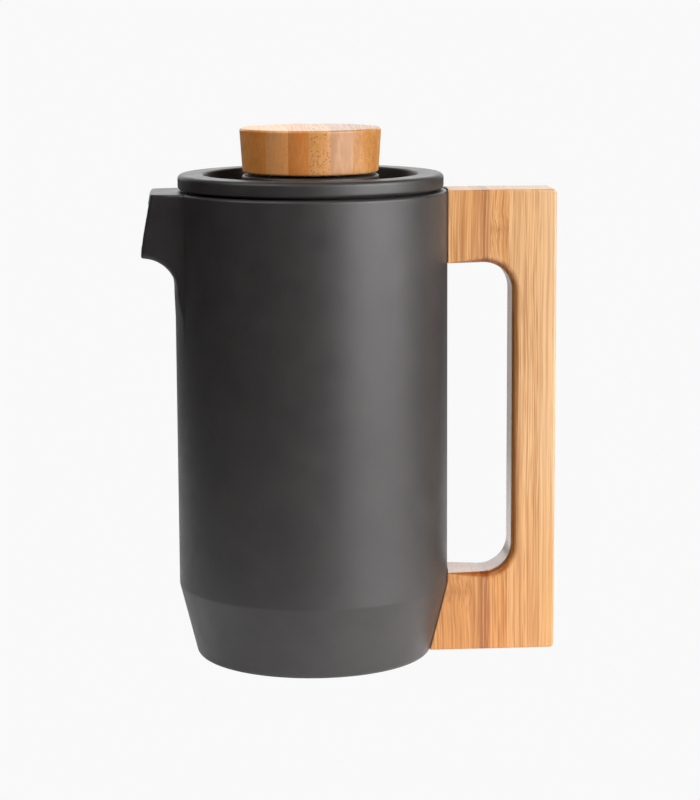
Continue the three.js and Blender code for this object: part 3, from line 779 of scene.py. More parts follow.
def mouth_channel(inner_r):
    """(reach, z) rows of the channel's ceiling and of its floor, both without the mouth's own row."""
    ceiling_root_z = MOUTH_TOP_Z - 2.6
    top_reach = face_reach(MOUTH_TOP_Z)
    shares = [i / 8 for i in range(8)]
    ceiling = [(inner_r - 0.4, ceiling_root_z + 0.9), (inner_r + 0.4, ceiling_root_z + 0.25)]
    for share in shares[1:]:
        ceiling.append((inner_r + (top_reach - inner_r) * share,
                        ceiling_root_z + (MOUTH_TOP_Z - ceiling_root_z) * share))
    floor_root_z = MOUTH_FLOOR_Z - 6.2
    floor_reach = face_reach(MOUTH_FLOOR_Z)
    level_from = 0.55
    floor = []
    for share in reversed(shares):
        if share > level_from:
            z = MOUTH_FLOOR_Z - 0.25 * (1 - share)
        else:
            rise = MOUTH_FLOOR_Z - 0.12 - floor_root_z
            z = floor_root_z + rise * math.sin(share / level_from * math.pi / 2)
        floor.append((inner_r + (floor_reach - inner_r) * share, z))
    floor.append((inner_r, floor_root_z - 1.2))
    return ceiling, floor


def pot_rows(columns):
    """(radius, z) for each column, row by row over the pot's skin from under its base, up the outside,
    over the rim and down the inside. Also the first rows of the mouth's hole outside and inside."""
    outer_circle = side_circle(*SIDE_ENDS)
    inner_circle = side_circle(*CHANNEL_ENDS)
    inner_side = {angle: side_reach(angle, inner_circle) for angle in columns}
    inner_r = POT_R - POT_WALL
    rows = []

    def add_rings(outline):
        rows.extend([(radius, z)] * len(columns) for radius, z in outline)

    def outside(angle, reach, z):
        if abs(angle) > SPOUT_HALF_ANGLE:
            return wall_radius(z)
        side = side_reach(angle, outer_circle, z)
        return soft_max(wall_radius(z), soft_min(side, prow(angle, reach), SIDE_BLEND), ROOT_BLEND)

    def inside(angle, reach, z):
        if abs(angle) > SPOUT_HALF_ANGLE or reach <= inner_r:
            return inner_r
        stretch = soft_min(inner_side[angle], prow(angle, reach), INSIDE_BLEND)
        return soft_max(inner_r, stretch, INSIDE_BLEND)

    def add_rows(radius_at, outline):
        rows.extend([(radius_at(angle, reach, z), z) for angle in columns] for reach, z in outline)

    # underside: a shallow recess inside a foot ring, and the rounded edge up to the taper
    slope = math.atan(TAPER_SLOPE)
    slope_degrees = math.degrees(slope)
    inset = BASE_ROUND * (1 - math.sin(slope)) / math.cos(slope)
    recess_edge = FOOT_RING_INNER - 1.2
    add_rings((radius, FOOT_RECESS) for radius in (0.0, 12.0, 26.0, recess_edge))
    add_rings((x + 0.3, z) for x, z in arc((recess_edge, 0.0), FOOT_RECESS, 75, 15, 3))
    add_rings([(FOOT_RING_INNER, 0.0)])
    add_rings(arc((BASE_R - inset, BASE_ROUND), BASE_ROUND, -90, -slope_degrees, 8))
    # taper, soft crease and lower wall
    crease_low = 26.6
    add_rings((wall_radius(z), z) for z in (8, 14, 20, 25, crease_low))
    crease = [(wall_radius(crease_low), crease_low, 0), (POT_R, TAPER_TOP, 5), (POT_R, 30, 0)]
    add_rings(rounded(crease, False, 5)[1:])
    add_rings((POT_R, z) for z in WALL_ROWS_Z)
    # spout from its root to its lower lip, then its end face below, beside and above the mouth
    *lip_rows, face_top = spout_outer_rows()
    add_rows(outside, lip_rows)
    below = [SPOUT_LIP_Z + rise for rise in (1.0, 1.8, 2.6, 3.2)] + [MOUTH_FLOOR_Z - 0.5]
    add_rows(outside, [(face_reach(z), z) for z in below])
    outer_mouth = len(rows)
    mouth_step = (MOUTH_TOP_Z - MOUTH_FLOOR_Z) / MOUTH_ROWS
    beside = [MOUTH_FLOOR_Z + mouth_step * i for i in range(MOUTH_ROWS + 1)]
    above = [MOUTH_TOP_Z + 0.5, MOUTH_TOP_Z + 1.5, face_top[1]]
    add_rows(outside, [(face_reach(z), z) for z in beside + above])
    # the rim rounds over wherever the outside happens to be
    top_reach = [radius for radius, z in rows[-1]]
    inner_edge = inner_r + 1.2
    for x, z in arc((-RIM_ROUND, POT_TOP - RIM_ROUND), RIM_ROUND, 11, 90, 7):
        at_tip = SPOUT_TOP_REACH - 3
        rows.append([(reach + x * (0.4 if reach > at_tip else 1.0), z) for reach in top_reach])
    for share in (0.7, 0.35):
        rows.append([(inner_edge + (reach - RIM_ROUND - inner_edge) * share, POT_TOP) for reach in top_reach])
    add_rings(rounded([(inner_edge, POT_TOP, 0), (inner_r + 0.9, POT_TOP, 0), (inner_r, POT_TOP - 0.9, 0.6),
                       (inner_r, POT_TOP - 2.5, 0)], False, 4))
    # inside, downwards: the channel's ceiling, its mouth, its floor
    ceiling, floor = mouth_channel(inner_r)
    add_rows(inside, ceiling)
    inner_mouth = len(rows)
    add_rows(inside, [(face_reach(z), z) for z in reversed(beside)] + floor)
    # inner wall, taper and floor
    add_rings((inner_r, z) for z in INSIDE_ROWS_Z)
    inner_base = BASE_R - POT_WALL
    add_rings(rounded([(inner_r, 31, 0), (inner_r, TAPER_TOP, 5), (inner_base + TAPER_SLOPE * 26, 26, 0)],
                      False, 5))
    foot_corner = inner_base + TAPER_SLOPE * POT_FLOOR
    inner_inset = INNER_ROUND * inset / BASE_ROUND
    add_rings(arc((foot_corner - inner_inset, POT_FLOOR + INNER_ROUND), INNER_ROUND, -slope_degrees, -90, 8))
    add_rings((radius, POT_FLOOR) for radius in (24.0, 10.0, 0.0))
    return rows, outer_mouth, inner_mouth


def make_pot():
    """The pot as one skin: outside, rim, inside, with the spout drawn out of both and a mouth between."""
    columns = pot_columns()
    rows, outer_first, inner_first = pot_rows(columns)
    outer_last = outer_first + MOUTH_ROWS
    points, index = swept(rows, [angle + math.pi for angle in columns])
    # the mouth's rim is shared by the outside and the inside
    in_mouth = [i for i, angle in enumerate(columns) if abs(angle) <= math.radians(MOUTH_HALF_ANGLE)]
    first, last = in_mouth[0], in_mouth[-1]
    for k in range(MOUTH_ROWS + 1):
        for i in in_mouth:
            if k in (0, MOUTH_ROWS) or i in (first, last):
                index[inner_first + k][i] = index[outer_last - k][i]
    hole = {(j, i) for start in (outer_first, inner_first) for j in range(start, start + MOUTH_ROWS)
            for i in range(first, last)}
    rim_edges = {frozenset((index[j][i], index[j][i + 1])) for i in range(first, last)
                 for j in (outer_first, outer_last)}
    rim_edges |= {frozenset((index[j][i], index[j + 1][i])) for i in (first, last)
                  for j in range(outer_first, outer_last)}

    obj = add_object("pot_body", new_mesh("pot_body", points, skin(index, hole)))
    bm = bmesh.new()
    bm.from_mesh(obj.data)
    bm.verts.ensure_lookup_table()
    edges = [e for e in bm.edges if frozenset((e.verts[0].index, e.verts[1].index)) in rim_edges]
    bmesh.ops.bevel(bm, geom=edges, offset=MOUTH_EDGE_ROUND * MM, segments=4, profile=0.5, affect="EDGES",
                    clamp_overlap=True)
    bm.to_mesh(obj.data)
    bm.free()
    finish_mesh(obj)
    return obj


LUG_HALF_WIDTH = 5.0
LUG_HEIGHT = 11.0
LUG_REACH = high("pot")[0]
LUG_ABOVE_ARM = 6.6
LUG_EDGE_ROUND = 0.8
LUG_HOLE_R = 2.4
LUG_HOLE_DEPTH = 24.0
# each arm's underside and top
ARMS = {"upper": (UPPER_ARM_Z, HANDLE_HIGH[2]), "lower": (HANDLE_LOW[2], LOWER_ARM_Z)}


def add_lugs(pot):
    """Joins the two drilled lugs that the handle is screwed to."""
    for underside, _ in ARMS.values():
        bottom = underside + LUG_ABOVE_ARM
        root = wall_radius(bottom) - 1.5
        lug = block("lug", (root, -LUG_HALF_WIDTH, bottom), (LUG_REACH, LUG_HALF_WIDTH, bottom + LUG_HEIGHT))
        add_bevel(lug, LUG_EDGE_ROUND)
        apply_modifiers(lug)
        boolean(pot, lug, "UNION")
        drill(pot, LUG_HOLE_R, underside, underside + LUG_HOLE_DEPTH, SCREW_X, 0, 32)


pot = make_pot()
add_lugs(pot)
finish_cut(pot)
place(pot, "pot", CLAY, "pot")
second_material(pot, FOOT, lambda polygon: polygon.center.z < 0.9 * MM and polygon.normal.z < -0.3)


# ---------------------------------------------------------------- handle

ARM_END_X = 48.0
ARM_END_ROUND = 0.35
HANDLE_CORNER_R = 1.6


def handle_outline():
    """(x, z) of the handle's side outline, with the arms' ends at ARM_END_X until they meet the wall."""
    x_out, z_low, z_high = HANDLE_HIGH[0], HANDLE_LOW[2], HANDLE_HIGH[2]
    corners = [
        (ARM_END_X, z_low, 0), (x_out, z_low, HANDLE_CORNER_R), (x_out, z_high, HANDLE_CORNER_R),
        (ARM_END_X, z_high, 0), (ARM_END_X, UPPER_ARM_Z, 0), (GRIP_X, UPPER_ARM_Z, GRIP_CORNER_R),
        (GRIP_X, LOWER_ARM_Z, GRIP_CORNER_R), (ARM_END_X, LOWER_ARM_Z, 0),
    ]
    outline = rounded(corners, True, 14)
    steps_along_wall = 16
    points = []
    for i, (x, z) in enumerate(outline):
        after = outline[(i + 1) % len(outline)]
        points.append((x, z))
        if x == ARM_END_X and after[0] == ARM_END_X:
            rise = (after[1] - z) / steps_along_wall
            points += [(x, z + rise * k) for k in range(1, steps_along_wall)]
    return points


def edge_round(x, z):
    """How round the handle's long edge is at a point of its outline."""
    if x == ARM_END_X:
        return ARM_END_ROUND
    in_gap = x < GRIP_X + 0.1 and LOWER_ARM_Z - 0.1 < z < UPPER_ARM_Z + 0.1
    return INNER_EDGE_ROUND if in_gap else OUTER_EDGE_ROUND


def outward_offsets(outline):
    """For each point, the vector that moves it 1 mm out from both of its sides."""
    offsets = []
    for i, point in enumerate(outline):
        before, here, after = Vector(outline[i - 1]), Vector(point), Vector(outline[(i + 1) % len(outline)])
        a = (here - before).normalized()
        b = (after - here).normalized()
        normal = (Vector((a.y, -a.x)) + Vector((b.y, -b.x))).normalized()
        offsets.append(normal / max(0.5, normal.dot(Vector((a.y, -a.x)))))
    return offsets


def make_handle():
    """The handle as rings of its side outline, drawn in towards both faces to round its long edges."""
    outline = handle_outline()
    offsets = outward_offsets(outline)
    half = HANDLE_HIGH[1]
    levels = [math.radians(90 * k / 6) for k in range(6, -1, -1)]
    rings = [(-1, angle) for angle in levels] + [(0, share) for share in (-0.66, -0.33, 0.0, 0.33, 0.66)]
    rings += [(1, angle) for angle in reversed(levels)]
    points = []
    for side, level in rings:
        for (x, z), offset in zip(outline, offsets):
            round_here = edge_round(x, z)
            if side == 0:
                inset, y = 0.0, level * (half - round_here)
            else:
                inset = round_here * (1 - math.cos(level))
                y = side * (half - round_here * (1 - math.sin(level)))
            px, pz = x - offset.x * inset, z - offset.y * inset
            if x == ARM_END_X:
                reach = wall_radius(max(pz, 0)) + ARM_GAP + inset
                px = math.sqrt(reach * reach - y * y)
            points.append((px, y, pz))
    return make_object("bamboo_handle", points, capped(rows_of(len(rings), len(outline))))


HEAD_SPACE_R = 4.3
SHANK_SPACE_R = 2.3


def screw_space(underside):
    """The countersunk hole that a handle screw sits in."""
    start = underside + 0.2
    hole = turned("screw_space", [
        (0, underside - 4, 0), (HEAD_SPACE_R, underside - 4, 0), (HEAD_SPACE_R, start + 0.4, 0),
        (SHANK_SPACE_R, start + 2.7, 0), (SHANK_SPACE_R, start + 25, 0), (0, start + 25, 0),
    ], 48)
    hole.location.x = SCREW_X * MM
    return hole


def lug_space(underside, reach, clearance):
    """A block round a lug's place, to cut its mortise or the slot in a pad."""
    bottom = underside + LUG_ABOVE_ARM
    top = bottom + LUG_HEIGHT
    half = LUG_HALF_WIDTH + clearance
    return block("lug_space", (40.0, -half, bottom - clearance), (reach, half, top + clearance))


handle = make_handle()
for underside, _ in ARMS.values():
    boolean(handle, lug_space(underside, LUG_REACH + 0.4, 0.4), "DIFFERENCE")
    boolean(handle, screw_space(underside), "DIFFERENCE")
finish_cut(handle)
place(handle, "pot", HANDLE_WOOD, "handle")


# ---------------------------------------------------------------- lid, seal and rod guide

def z_in_lid(height):
    return LID_SEAT + height


LID_BORE_R = 6.0
BOSS_R = 26.0
BOSS_TOP = 5.8
DISH_FLOOR = -1.2
CREST = 6.2
CREST_R = 50.5
SKIRT_R = 46.2
SKIRT_BOTTOM = -7.2
GROOVE_R = 43.8
UNDERSIDE = -5.4
HOLLOW_R = 20.0
HOLLOW_ROOF = -0.6


def lid_corners():
    """The lid's section as (radius, z, round) corners, about its seat on the rim: the boss and the dish,
    the crest, the skirt with its groove, and the hollow under the boss."""
    section = [
        (LID_BORE_R, 4.5, 0.2), (9.1, 4.5, 0.2), (9.1, BOSS_TOP, 0.3), (BOSS_R, BOSS_TOP, 1.0),
        (BOSS_R, DISH_FLOOR, 1.6), (39.0, DISH_FLOOR, 3.0),
        (41.0, CREST, 1.2), (CREST_R, CREST, 1.7), (CREST_R, 0.3, 2.6), (47.5, 0.3, 0.2), (47.5, 0.0, 0.1),
        (SKIRT_R, 0.0, 0.5), (SKIRT_R, -1.9, 0.2), (GROOVE_R, -1.9, 0.3), (GROOVE_R, -6.1, 0.3),
        (SKIRT_R, -6.1, 0.2), (SKIRT_R, SKIRT_BOTTOM, 0.5), (42.0, SKIRT_BOTTOM, 0.6), (41.0, UNDERSIDE, 1.0),
        (HOLLOW_R, UNDERSIDE, 0.6), (HOLLOW_R, HOLLOW_ROOF, 2.0), (LID_BORE_R, HOLLOW_ROOF, 0.4),
    ]
    return [(radius, z_in_lid(z), edge) for radius, z, edge in section]


lid = turned("dished_lid", lid_corners(), 160, ring=True, steps=7)
place(lid, "lid", CLAY, "lid")

seal_low, seal_high, _ = ends("lid_seal")
half_seal = [(44.1, 0, 0.3), (46.0, 0, 0.3), (47.3, 0.6, 0.15), (46.5, 1.3, 0.4)]
seal = turned("seal_ring", mirrored(half_seal, seal_low, seal_high), 128, ring=True, steps=3)
place(seal, "lid_seal", SILICONE, "lid_seal")

guide_low, guide_high, flange_r = ends("rod_guide")
flange_low = guide_high - 1.05
barrel_r = 5.7
groove_high, groove_low = z_in_lid(-1.95), z_in_lid(-3.05)
guide = turned("rod_guide_bush", [
    (2.6, guide_high, 0.3), (flange_r, guide_high, 0.4), (flange_r, flange_low, 0.15),
    (barrel_r, flange_low, 0.1), (barrel_r, groove_high, 0), (5.0, groove_high, 0), (5.0, groove_low, 0),
    (barrel_r, groove_low, 0), (barrel_r, guide_low, 0.5), (2.6, guide_low, 0.3),
], 96, ring=True, steps=3)
place(guide, "rod_guide", STEEL, "rod_guide")


def turned_like(name, node, inner_r, edge):
    """A washer or tube with rounded edges, in the place of a CAD ring."""
    bottom, top, outer_r = ends(node)
    corners = mirrored([(inner_r, 0, edge), (outer_r, 0, edge)], bottom, top)
    return turned(name, corners, ring=True, steps=3)


washer = turned_like("guide_flat_washer", "guide_washer", 5.9, 0.25)
place(washer, "rod_guide", STEEL, "guide_washer")


def make_clip():
    """An open retaining ring with an eye at each end."""
    bottom, top, _ = ends("guide_clip")
    outline = arc((0, 0), 7.3, 32, 328, 48) + arc((0, 0), 5.15, 328, 32, 48)
    clip = prism("guide_retaining_clip", outline, bottom, top)
    for x, y in arc((0, 0), 6.3, 40, 320, 1):
        drill(clip, 0.5, bottom - 1, top + 1, x, y, 16)
    return finish_cut(clip, 0.12, 2)


place(make_clip(), "rod_guide", STEEL, "guide_clip")


# ---------------------------------------------------------------- knob and rod

POCKET_R = 5.3
POCKET_TOP_Z = KNOB_LOW_Z + 12
knob = turned("bamboo_knob", [
    (0, POCKET_TOP_Z, 0), (POCKET_R, POCKET_TOP_Z, 0.2), (POCKET_R, KNOB_LOW_Z, 0.3),
    (KNOB_LOW_R, KNOB_LOW_Z, 0.9), (KNOB_TOP_R, KNOB_HIGH_Z, 1.0), (0, KNOB_HIGH_Z, 0),
], 160, steps=6)
place(knob, "plunger", KNOB_WOOD, "knob")

insert = turned_like("brass_insert", "knob_insert", 2.65, 0.4)
place(insert, "plunger", BRASS, "knob_insert")
knob_washer = turned_like("knob_steel_washer", "knob_washer", 2.75, 0.2)
place(knob_washer, "plunger", STEEL, "knob_washer")

rod_low, rod_high, rod_r = ends("plunger_rod")
COLLAR_Z = low("rod_collar")[2]


def threaded(radius, depth, pitch, bottom, top):
    """(radius, z, round) corners of a run of thread, as rings."""
    profile = ((radius - depth, 0.05), (radius, 0.4), (radius, 0.6), (radius - depth, 0.95))
    turns = int((top - bottom) / pitch)
    return [(r, bottom + pitch * (i + share), 0) for i in range(turns) for r, share in profile]


TAIL_PITCH = 0.7
tail_r = 2.0
rod = turned("steel_rod", [
    (0, rod_low, 0), (1.5, rod_low, 0.1), *threaded(tail_r, 0.25, TAIL_PITCH, rod_low + 0.4, COLLAR_Z),
    (tail_r, COLLAR_Z + 0.3, 0), (rod_r, COLLAR_Z + 0.3, 0), (rod_r, KNOB_LOW_Z - 1.5, 0),
    *threaded(rod_r, 0.3, 0.8, KNOB_LOW_Z - 0.5, rod_high - 0.8), (rod_r - 0.3, rod_high - 0.6, 0),
    (rod_r - 0.7, rod_high, 0), (0, rod_high, 0),
], 48)
place(rod, "plunger", BRIGHT_STEEL, "plunger_rod")

collar_bore = 2.58
collar = turned("rod_stop_collar", [
    (collar_bore, COLLAR_Z, 0), (6.0, COLLAR_Z, 0.4), (6.0, COLLAR_Z + 4.5, 0.8), (4.0, COLLAR_Z + 6.5, 0.8),
    (collar_bore, COLLAR_Z + 6.5, 0.1),
], 72, ring=True)
place(collar, "plunger", STEEL, "rod_collar")


# ---------------------------------------------------------------- filter stack

PLATE_Z, PLATE_RIM_Z, PLATE_R = ends("spiral_plate")
SHEET = 0.8
STACK_BORE_R = 2.35
HOLE_R = 4.0
HOLE_CIRCLE = 29.0
HOLE_COUNT = 12


def make_spiral_plate():
    """The pressed plate with its raised hub, twelve drain holes and an upturned rim."""
    hub_top = COLLAR_Z - 0.3
    plate = turned("spring_plate", [
        (STACK_BORE_R, hub_top - SHEET, 0.1), (7.5, hub_top - SHEET, 1.0), (10.5, PLATE_Z, 1.2),
        (PLATE_R, PLATE_Z, 0.9), (PLATE_R, PLATE_RIM_Z, 0.3), (PLATE_R - SHEET, PLATE_RIM_Z, 0.3),
        (PLATE_R - SHEET, PLATE_Z + SHEET, 0.4), (10.9, PLATE_Z + SHEET, 1.0), (7.9, hub_top, 1.0),
        (STACK_BORE_R, hub_top, 0.1),
    ], 144, ring=True)
    plate.modifiers.clear()
    for x, y in arc((0, 0), HOLE_CIRCLE, 0, 360, HOLE_COUNT)[:-1]:
        drill(plate, HOLE_R, PLATE_Z - 1, PLATE_Z + 2, x, y, 40)
    return finish_cut(plate)


place(make_spiral_plate(), "plunger", STEEL, "spiral_plate")


def make_edge_spring():
    """The coil spring that is bent round the plate's edge, as one long wire helix joined to itself."""
    low_z, high_z, _ = ends("edge_spring")
    middle_z = (low_z + high_z) / 2
    ring_r = 45.8
    wire_r = 0.32
    coil_r = 1.3 - wire_r
    turns, per_turn, sides = 190, 12, 5
    total = turns * per_turn
    points = []
    for i in range(total):
        around = 2 * math.pi * i / total
        coil = 2 * math.pi * i / per_turn
        out = Vector((math.cos(around), math.sin(around), 0))
        up = Vector((0, 0, 1))
        spoke = out * math.cos(coil) + up * math.sin(coil)
        centre = out * ring_r + up * middle_z + spoke * coil_r
        along_ring = Vector((-math.sin(around), math.cos(around), 0))
        tangent = (along_ring * (2 * math.pi * ring_r / turns) +
                   (up * math.cos(coil) - out * math.sin(coil)) * (2 * math.pi * coil_r)).normalized()
        side = tangent.cross(spoke).normalized()
        for k in range(sides):
            angle = 2 * math.pi * k / sides
            points.append(tuple(centre + (spoke * math.cos(angle) + side * math.sin(angle)) * wire_r))
    rows = rows_of(total, sides)
    return make_object("coil_edge_spring", points, skin(rows + rows[:1]))


place(make_edge_spring(), "plunger", BRIGHT_STEEL, "edge_spring")

filter_low, filter_high, filter_r = ends("filter_mesh")
half_filter = [(STACK_BORE_R, 0.3, 0), (45.0, 0.3, 0.3), (45.4, 0, 0.25), (filter_r, 0, 0.35)]
filter_disc = turned("woven_filter", mirrored(half_filter, filter_low, filter_high), 144, ring=True)
place(filter_disc, "plunger", WIRE, "filter_mesh")
second_material(filter_disc, STEEL, lambda polygon: polygon.center.xy.length > 45.1 * MM)

SPOKE_COUNT = 6
SPOKE_WIDTH = 6.0
WINDOW_INNER_R = 11.0
WINDOW_OUTER_R = 39.0


def window_edge(radius, middle, way, steps, corner_round):
    """(x, y, round) corners of a window's inner or outer edge, between two spokes."""
    half = 180 / SPOKE_COUNT - math.degrees(SPOKE_WIDTH / 2 / radius)
    edge = arc((0, 0), radius, middle - way * half, middle + way * half, steps)
    return [(x, y, corner_round if k in (0, steps) else 0) for k, (x, y) in enumerate(edge)]


def make_cross_plate():
    """The lower plate: six spokes between a hub and a rim, with rounded windows."""
    bottom, top, rim_r = ends("cross_plate")
    corners = mirrored([(STACK_BORE_R, 0, 0.1), (rim_r, 0, 0.3)], bottom, top)
    plate = turned("cross_bar_plate", corners, 144, ring=True)
    plate.modifiers.clear()
    for i in range(SPOKE_COUNT):
        middle = 360 / SPOKE_COUNT * (i + 0.5)
        window = rounded(window_edge(WINDOW_OUTER_R, middle, 1, 20, 2.0) +
                         window_edge(WINDOW_INNER_R, middle, -1, 6, 1.0), True, 3)
        boolean(plate, prism("window", window, bottom - 1, top + 1), "DIFFERENCE")
    return finish_cut(plate, 0.2, 2)


place(make_cross_plate(), "plunger", STEEL, "cross_plate")


def make_filter_nut():
    """A hexagonal nut, chamfered top and bottom, with a threaded bore."""
    bottom, top, corner_r = ends("filter_nut")
    hexagon = turned("stack_nut", [(0, bottom, 0), (corner_r, bottom, 0), (corner_r, top, 0), (0, top, 0)], 6)
    hexagon.modifiers.clear()
    hexagon.data.transform(Matrix.Rotation(math.radians(90), 4, "Z"))
    dome = turned("dome", [
        (0, bottom - 0.1, 0), (corner_r - 0.9, bottom - 0.1, 0), (corner_r + 0.1, bottom + 0.7, 0),
        (corner_r + 0.1, top - 0.7, 0), (corner_r - 0.9, top + 0.1, 0), (0, top + 0.1, 0)], 72)
    boolean(hexagon, dome, "INTERSECT")
    bore = turned("bore", [
        (0, bottom - 1, 0), (2.4, bottom - 1, 0), *threaded(STACK_BORE_R, 0.2, TAIL_PITCH, bottom, top),
        (2.4, top + 1, 0), (0, top + 1, 0)], 48)
    boolean(hexagon, bore, "DIFFERENCE")
    return finish_cut(hexagon, 0.12, 2, 25)


place(make_filter_nut(), "plunger", STEEL, "filter_nut")


# ---------------------------------------------------------------- handle screws and pads

def make_handle_screw(name, node):
    """A countersunk hex-socket screw, standing on its head."""
    bottom, top, head_r = ends(node)
    screw = turned(name, [
        (0, bottom, 0), (head_r, bottom, 0.15), (head_r, bottom + 0.4, 0.1), (2.0, bottom + 2.4, 0.2),
        (2.0, bottom + 6, 0), *threaded(2.0, 0.3, 0.9, bottom + 7, top - 2.5), (1.7, top - 2.2, 0),
        (0.6, top, 0.3), (0, top, 0)], 48)
    socket = turned("socket", [
        (0, bottom - 1, 0), (1.45, bottom - 1, 0), (1.45, bottom + 1.6, 0), (0, bottom + 1.9, 0)], 6)
    socket.modifiers.clear()
    screw.modifiers.clear()
    boolean(screw, socket, "DIFFERENCE")
    screw.data.transform(Matrix.Translation((SCREW_X * MM, 0, 0)))
    return finish_cut(screw, 0.08, 2, 40)


for arm in ARMS:
    node = f"{arm}_handle_screw"
    place(make_handle_screw(f"{arm}_socket_screw", node), "pot", STEEL, node)

PAD_MARGIN = 0.25


def make_pad(name, arm_low, arm_high):
    """The thin gasket that fills the joint, following the wall, with a slot for the lug."""
    half = HANDLE_HIGH[1] - PAD_MARGIN
    bottom, top = arm_low + PAD_MARGIN, arm_high - PAD_MARGIN
    near, far = 0.04, ARM_GAP - 0.03
    columns, rows = 20, 24
    points, index = [], {}
    for layer, offset in enumerate((near, far)):
        for j in range(rows + 1):
            for i in range(columns + 1):
                y = -half + 2 * half * i / columns
                z = bottom + (top - bottom) * j / rows
                reach = wall_radius(z, offset)
                index[layer, i, j] = len(points)
                points.append((math.sqrt(reach * reach - y * y), y, z))
    faces = []
    for layer in (0, 1):
        for j in range(rows):
            for i in range(columns):
                corners = ((i, j), (i + 1, j), (i + 1, j + 1), (i, j + 1))
                faces.append([index[layer, k, m] for k, m in corners])
    rim = [(i, 0) for i in range(columns)] + [(columns, j) for j in range(rows)]
    rim += [(columns - i, rows) for i in range(columns)] + [(0, rows - j) for j in range(rows)]
    for (i, j), (k, m) in zip(rim, rim[1:] + rim[:1]):
        faces.append((index[0, i, j], index[0, k, m], index[1, k, m], index[1, i, j]))
    pad = make_object(name, points, faces)
    boolean(pad, lug_space(arm_low, 70.0, 0.3), "DIFFERENCE")
    return pad


for arm, (arm_low, arm_high) in ARMS.items():
    pad = make_pad(f"{arm}_joint_pad", arm_low, arm_high)
    place(pad, "pot", PAD_RUBBER, f"{arm}_handle_pad")


# ---------------------------------------------------------------- studio

PAPER_WHITE = (0.947, 0.947, 0.947, 1)
FLOOR_HALF = 30000
WALL_GLOW = 2.5
SWEEP_GLOW = 0.62
TABLE_GLOW = 0.34
POOL_GLOW = 0.8
POOL_X = 0.11
POOL_Y = -0.1
TABLE_PALE = 0.85
ROOM_DIM = 0.02


def make_floor():
    """A floor that is pale round the object, with glows for the light off a table and a white sweep. The
    camera sees only paper white."""
    corners = [(x * FLOOR_HALF, y * FLOOR_HALF, 0) for x, y in ((-1, -1), (1, -1), (1, 1), (-1, 1))]
    floor = add_object("floor", new_mesh("floor", corners, [(0, 1, 2, 3)]))
    g = Graph("floor_paper")
    x, y, _ = g.split(g.position())
    away = g.length(x, y)
    pale = g.remap(away, 0.12, 0.45, TABLE_PALE, 0.06)
    g.set(Base_Color=g.join(pale, pale, pale), Roughness=1.0, Specular_IOR_Level=0.0)
    beside = g.remap(g.size(x), 0.25, 0.45, SWEEP_GLOW, 0.0)
    sweep = g.times(beside, g.remap(y, 0.02, 0.2, 0, 1))
    table = g.times(g.remap(away, 0.08, 0.24, TABLE_GLOW, 0.0), g.remap(y, -0.1, -0.01, 0, 1))
    from_pool = g.length(g.minus(x, POOL_X), g.minus(y, POOL_Y))
    pool = g.remap(from_pool, 0.03, 0.16, POOL_GLOW, 0.0)
    glow = g.plus(g.math("MAXIMUM", sweep, table), pool)
    g.set(Emission_Color=(1, 1, 1, 1), Emission_Strength=glow)
    paper = g.node("ShaderNodeEmission", PAPER_WHITE)
    g.show(g.shader, paper, "Material Output")
    floor.data.materials.append(g.owner)


# name: azimuth, elevation, distance, width, height, power. Azimuth 0 is in front of the object (-Y) and
# 90 on its right (+X).
LAMPS = {
    "key": (54, 12, 1.3, 0.8, 1.3, 18.5),
    "key_front": (38, 14, 1.3, 0.5, 1.3, 15.0),
    "key_side": (72, 12, 1.3, 0.5, 1.3, 13.0),
    "fill": (-60, 52, 1.3, 0.8, 0.8, 8.0),
    "front_top": (-5, 48, 1.3, 0.9, 0.7, 1.4),
    "back_top": (180, 38, 1.2, 1.6, 0.6, 2.0),
}


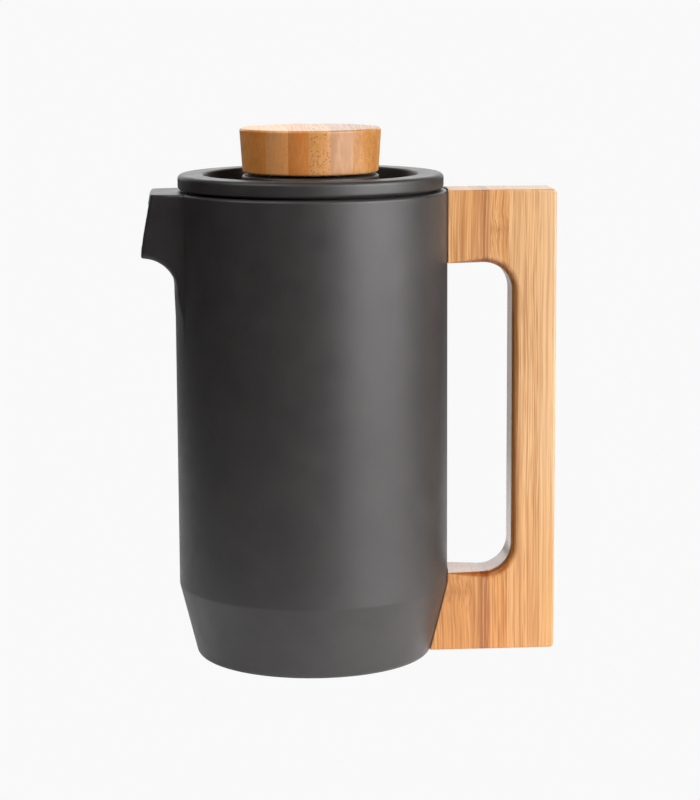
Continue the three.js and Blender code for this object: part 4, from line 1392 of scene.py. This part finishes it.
def make_lamp(name, azimuth, elevation, distance, width, height, power):
    """A soft box aimed at the object, out of sight of the camera."""
    data = bpy.data.lights.new(name, "AREA")
    data.shape = "RECTANGLE"
    data.size = width
    data.size_y = height
    data.energy = power
    obj = add_object(name, data)
    a, e = math.radians(azimuth), math.radians(elevation)
    aim = Vector((0, 0, 0.1))
    back = Vector((math.sin(a) * math.cos(e), -math.cos(a) * math.cos(e), math.sin(e)))
    obj.location = aim + back * distance
    obj.rotation_euler = back.to_track_quat("Z", "Y").to_euler()
    obj.visible_camera = False


def make_world():
    """A dim room with a bright wall behind the object. The camera sees only paper white."""
    world = bpy.data.worlds.new("studio")
    bpy.context.scene.world = world
    g = Graph("studio", world)
    g.tree.nodes.clear()
    g.node("ShaderNodeOutputWorld", name="World Output")
    seen = g.node("ShaderNodeBackground", PAPER_WHITE)
    _, backward, _ = g.split(g.node("ShaderNodeTexCoord").outputs["Generated"])
    wall = g.remap(backward, 0.74, 0.92, ROOM_DIM, WALL_GLOW, "SMOOTHSTEP")
    room = g.node("ShaderNodeBackground", None, wall)
    g.show(room, seen, "World Output")


make_floor()
make_world()
for lamp, settings in LAMPS.items():
    make_lamp(lamp, *settings)
bpy.context.scene.view_settings.view_transform = "Standard"

# ---------------------------------------------------------------- camera

CAMERA_AZIMUTH = -0.0468
CAMERA_DISTANCE = 0.9562
CAMERA_HEIGHT = 0.25437
CAMERA_YAW = -0.0152
CAMERA_PITCH = 0.1616
CAMERA_ROLL = -0.0052
CAMERA_LENS = 113.1


def make_camera():
    """A long lens a little above the knob, standing slightly to the spout's side."""
    data = bpy.data.cameras.new("camera")
    data.lens = CAMERA_LENS
    data.sensor_width = 36.0
    data.clip_start = 0.01
    camera = add_object("camera", data)
    camera.matrix_world = (
        Matrix.Rotation(CAMERA_AZIMUTH, 4, "Z") @ Matrix.Translation((0, -CAMERA_DISTANCE, CAMERA_HEIGHT)) @
        Matrix.Rotation(CAMERA_YAW, 4, "Z") @ Matrix.Rotation(math.pi / 2 - CAMERA_PITCH, 4, "X") @
        Matrix.Rotation(CAMERA_ROLL, 4, "Z"))
    bpy.context.scene.camera = camera


make_camera()
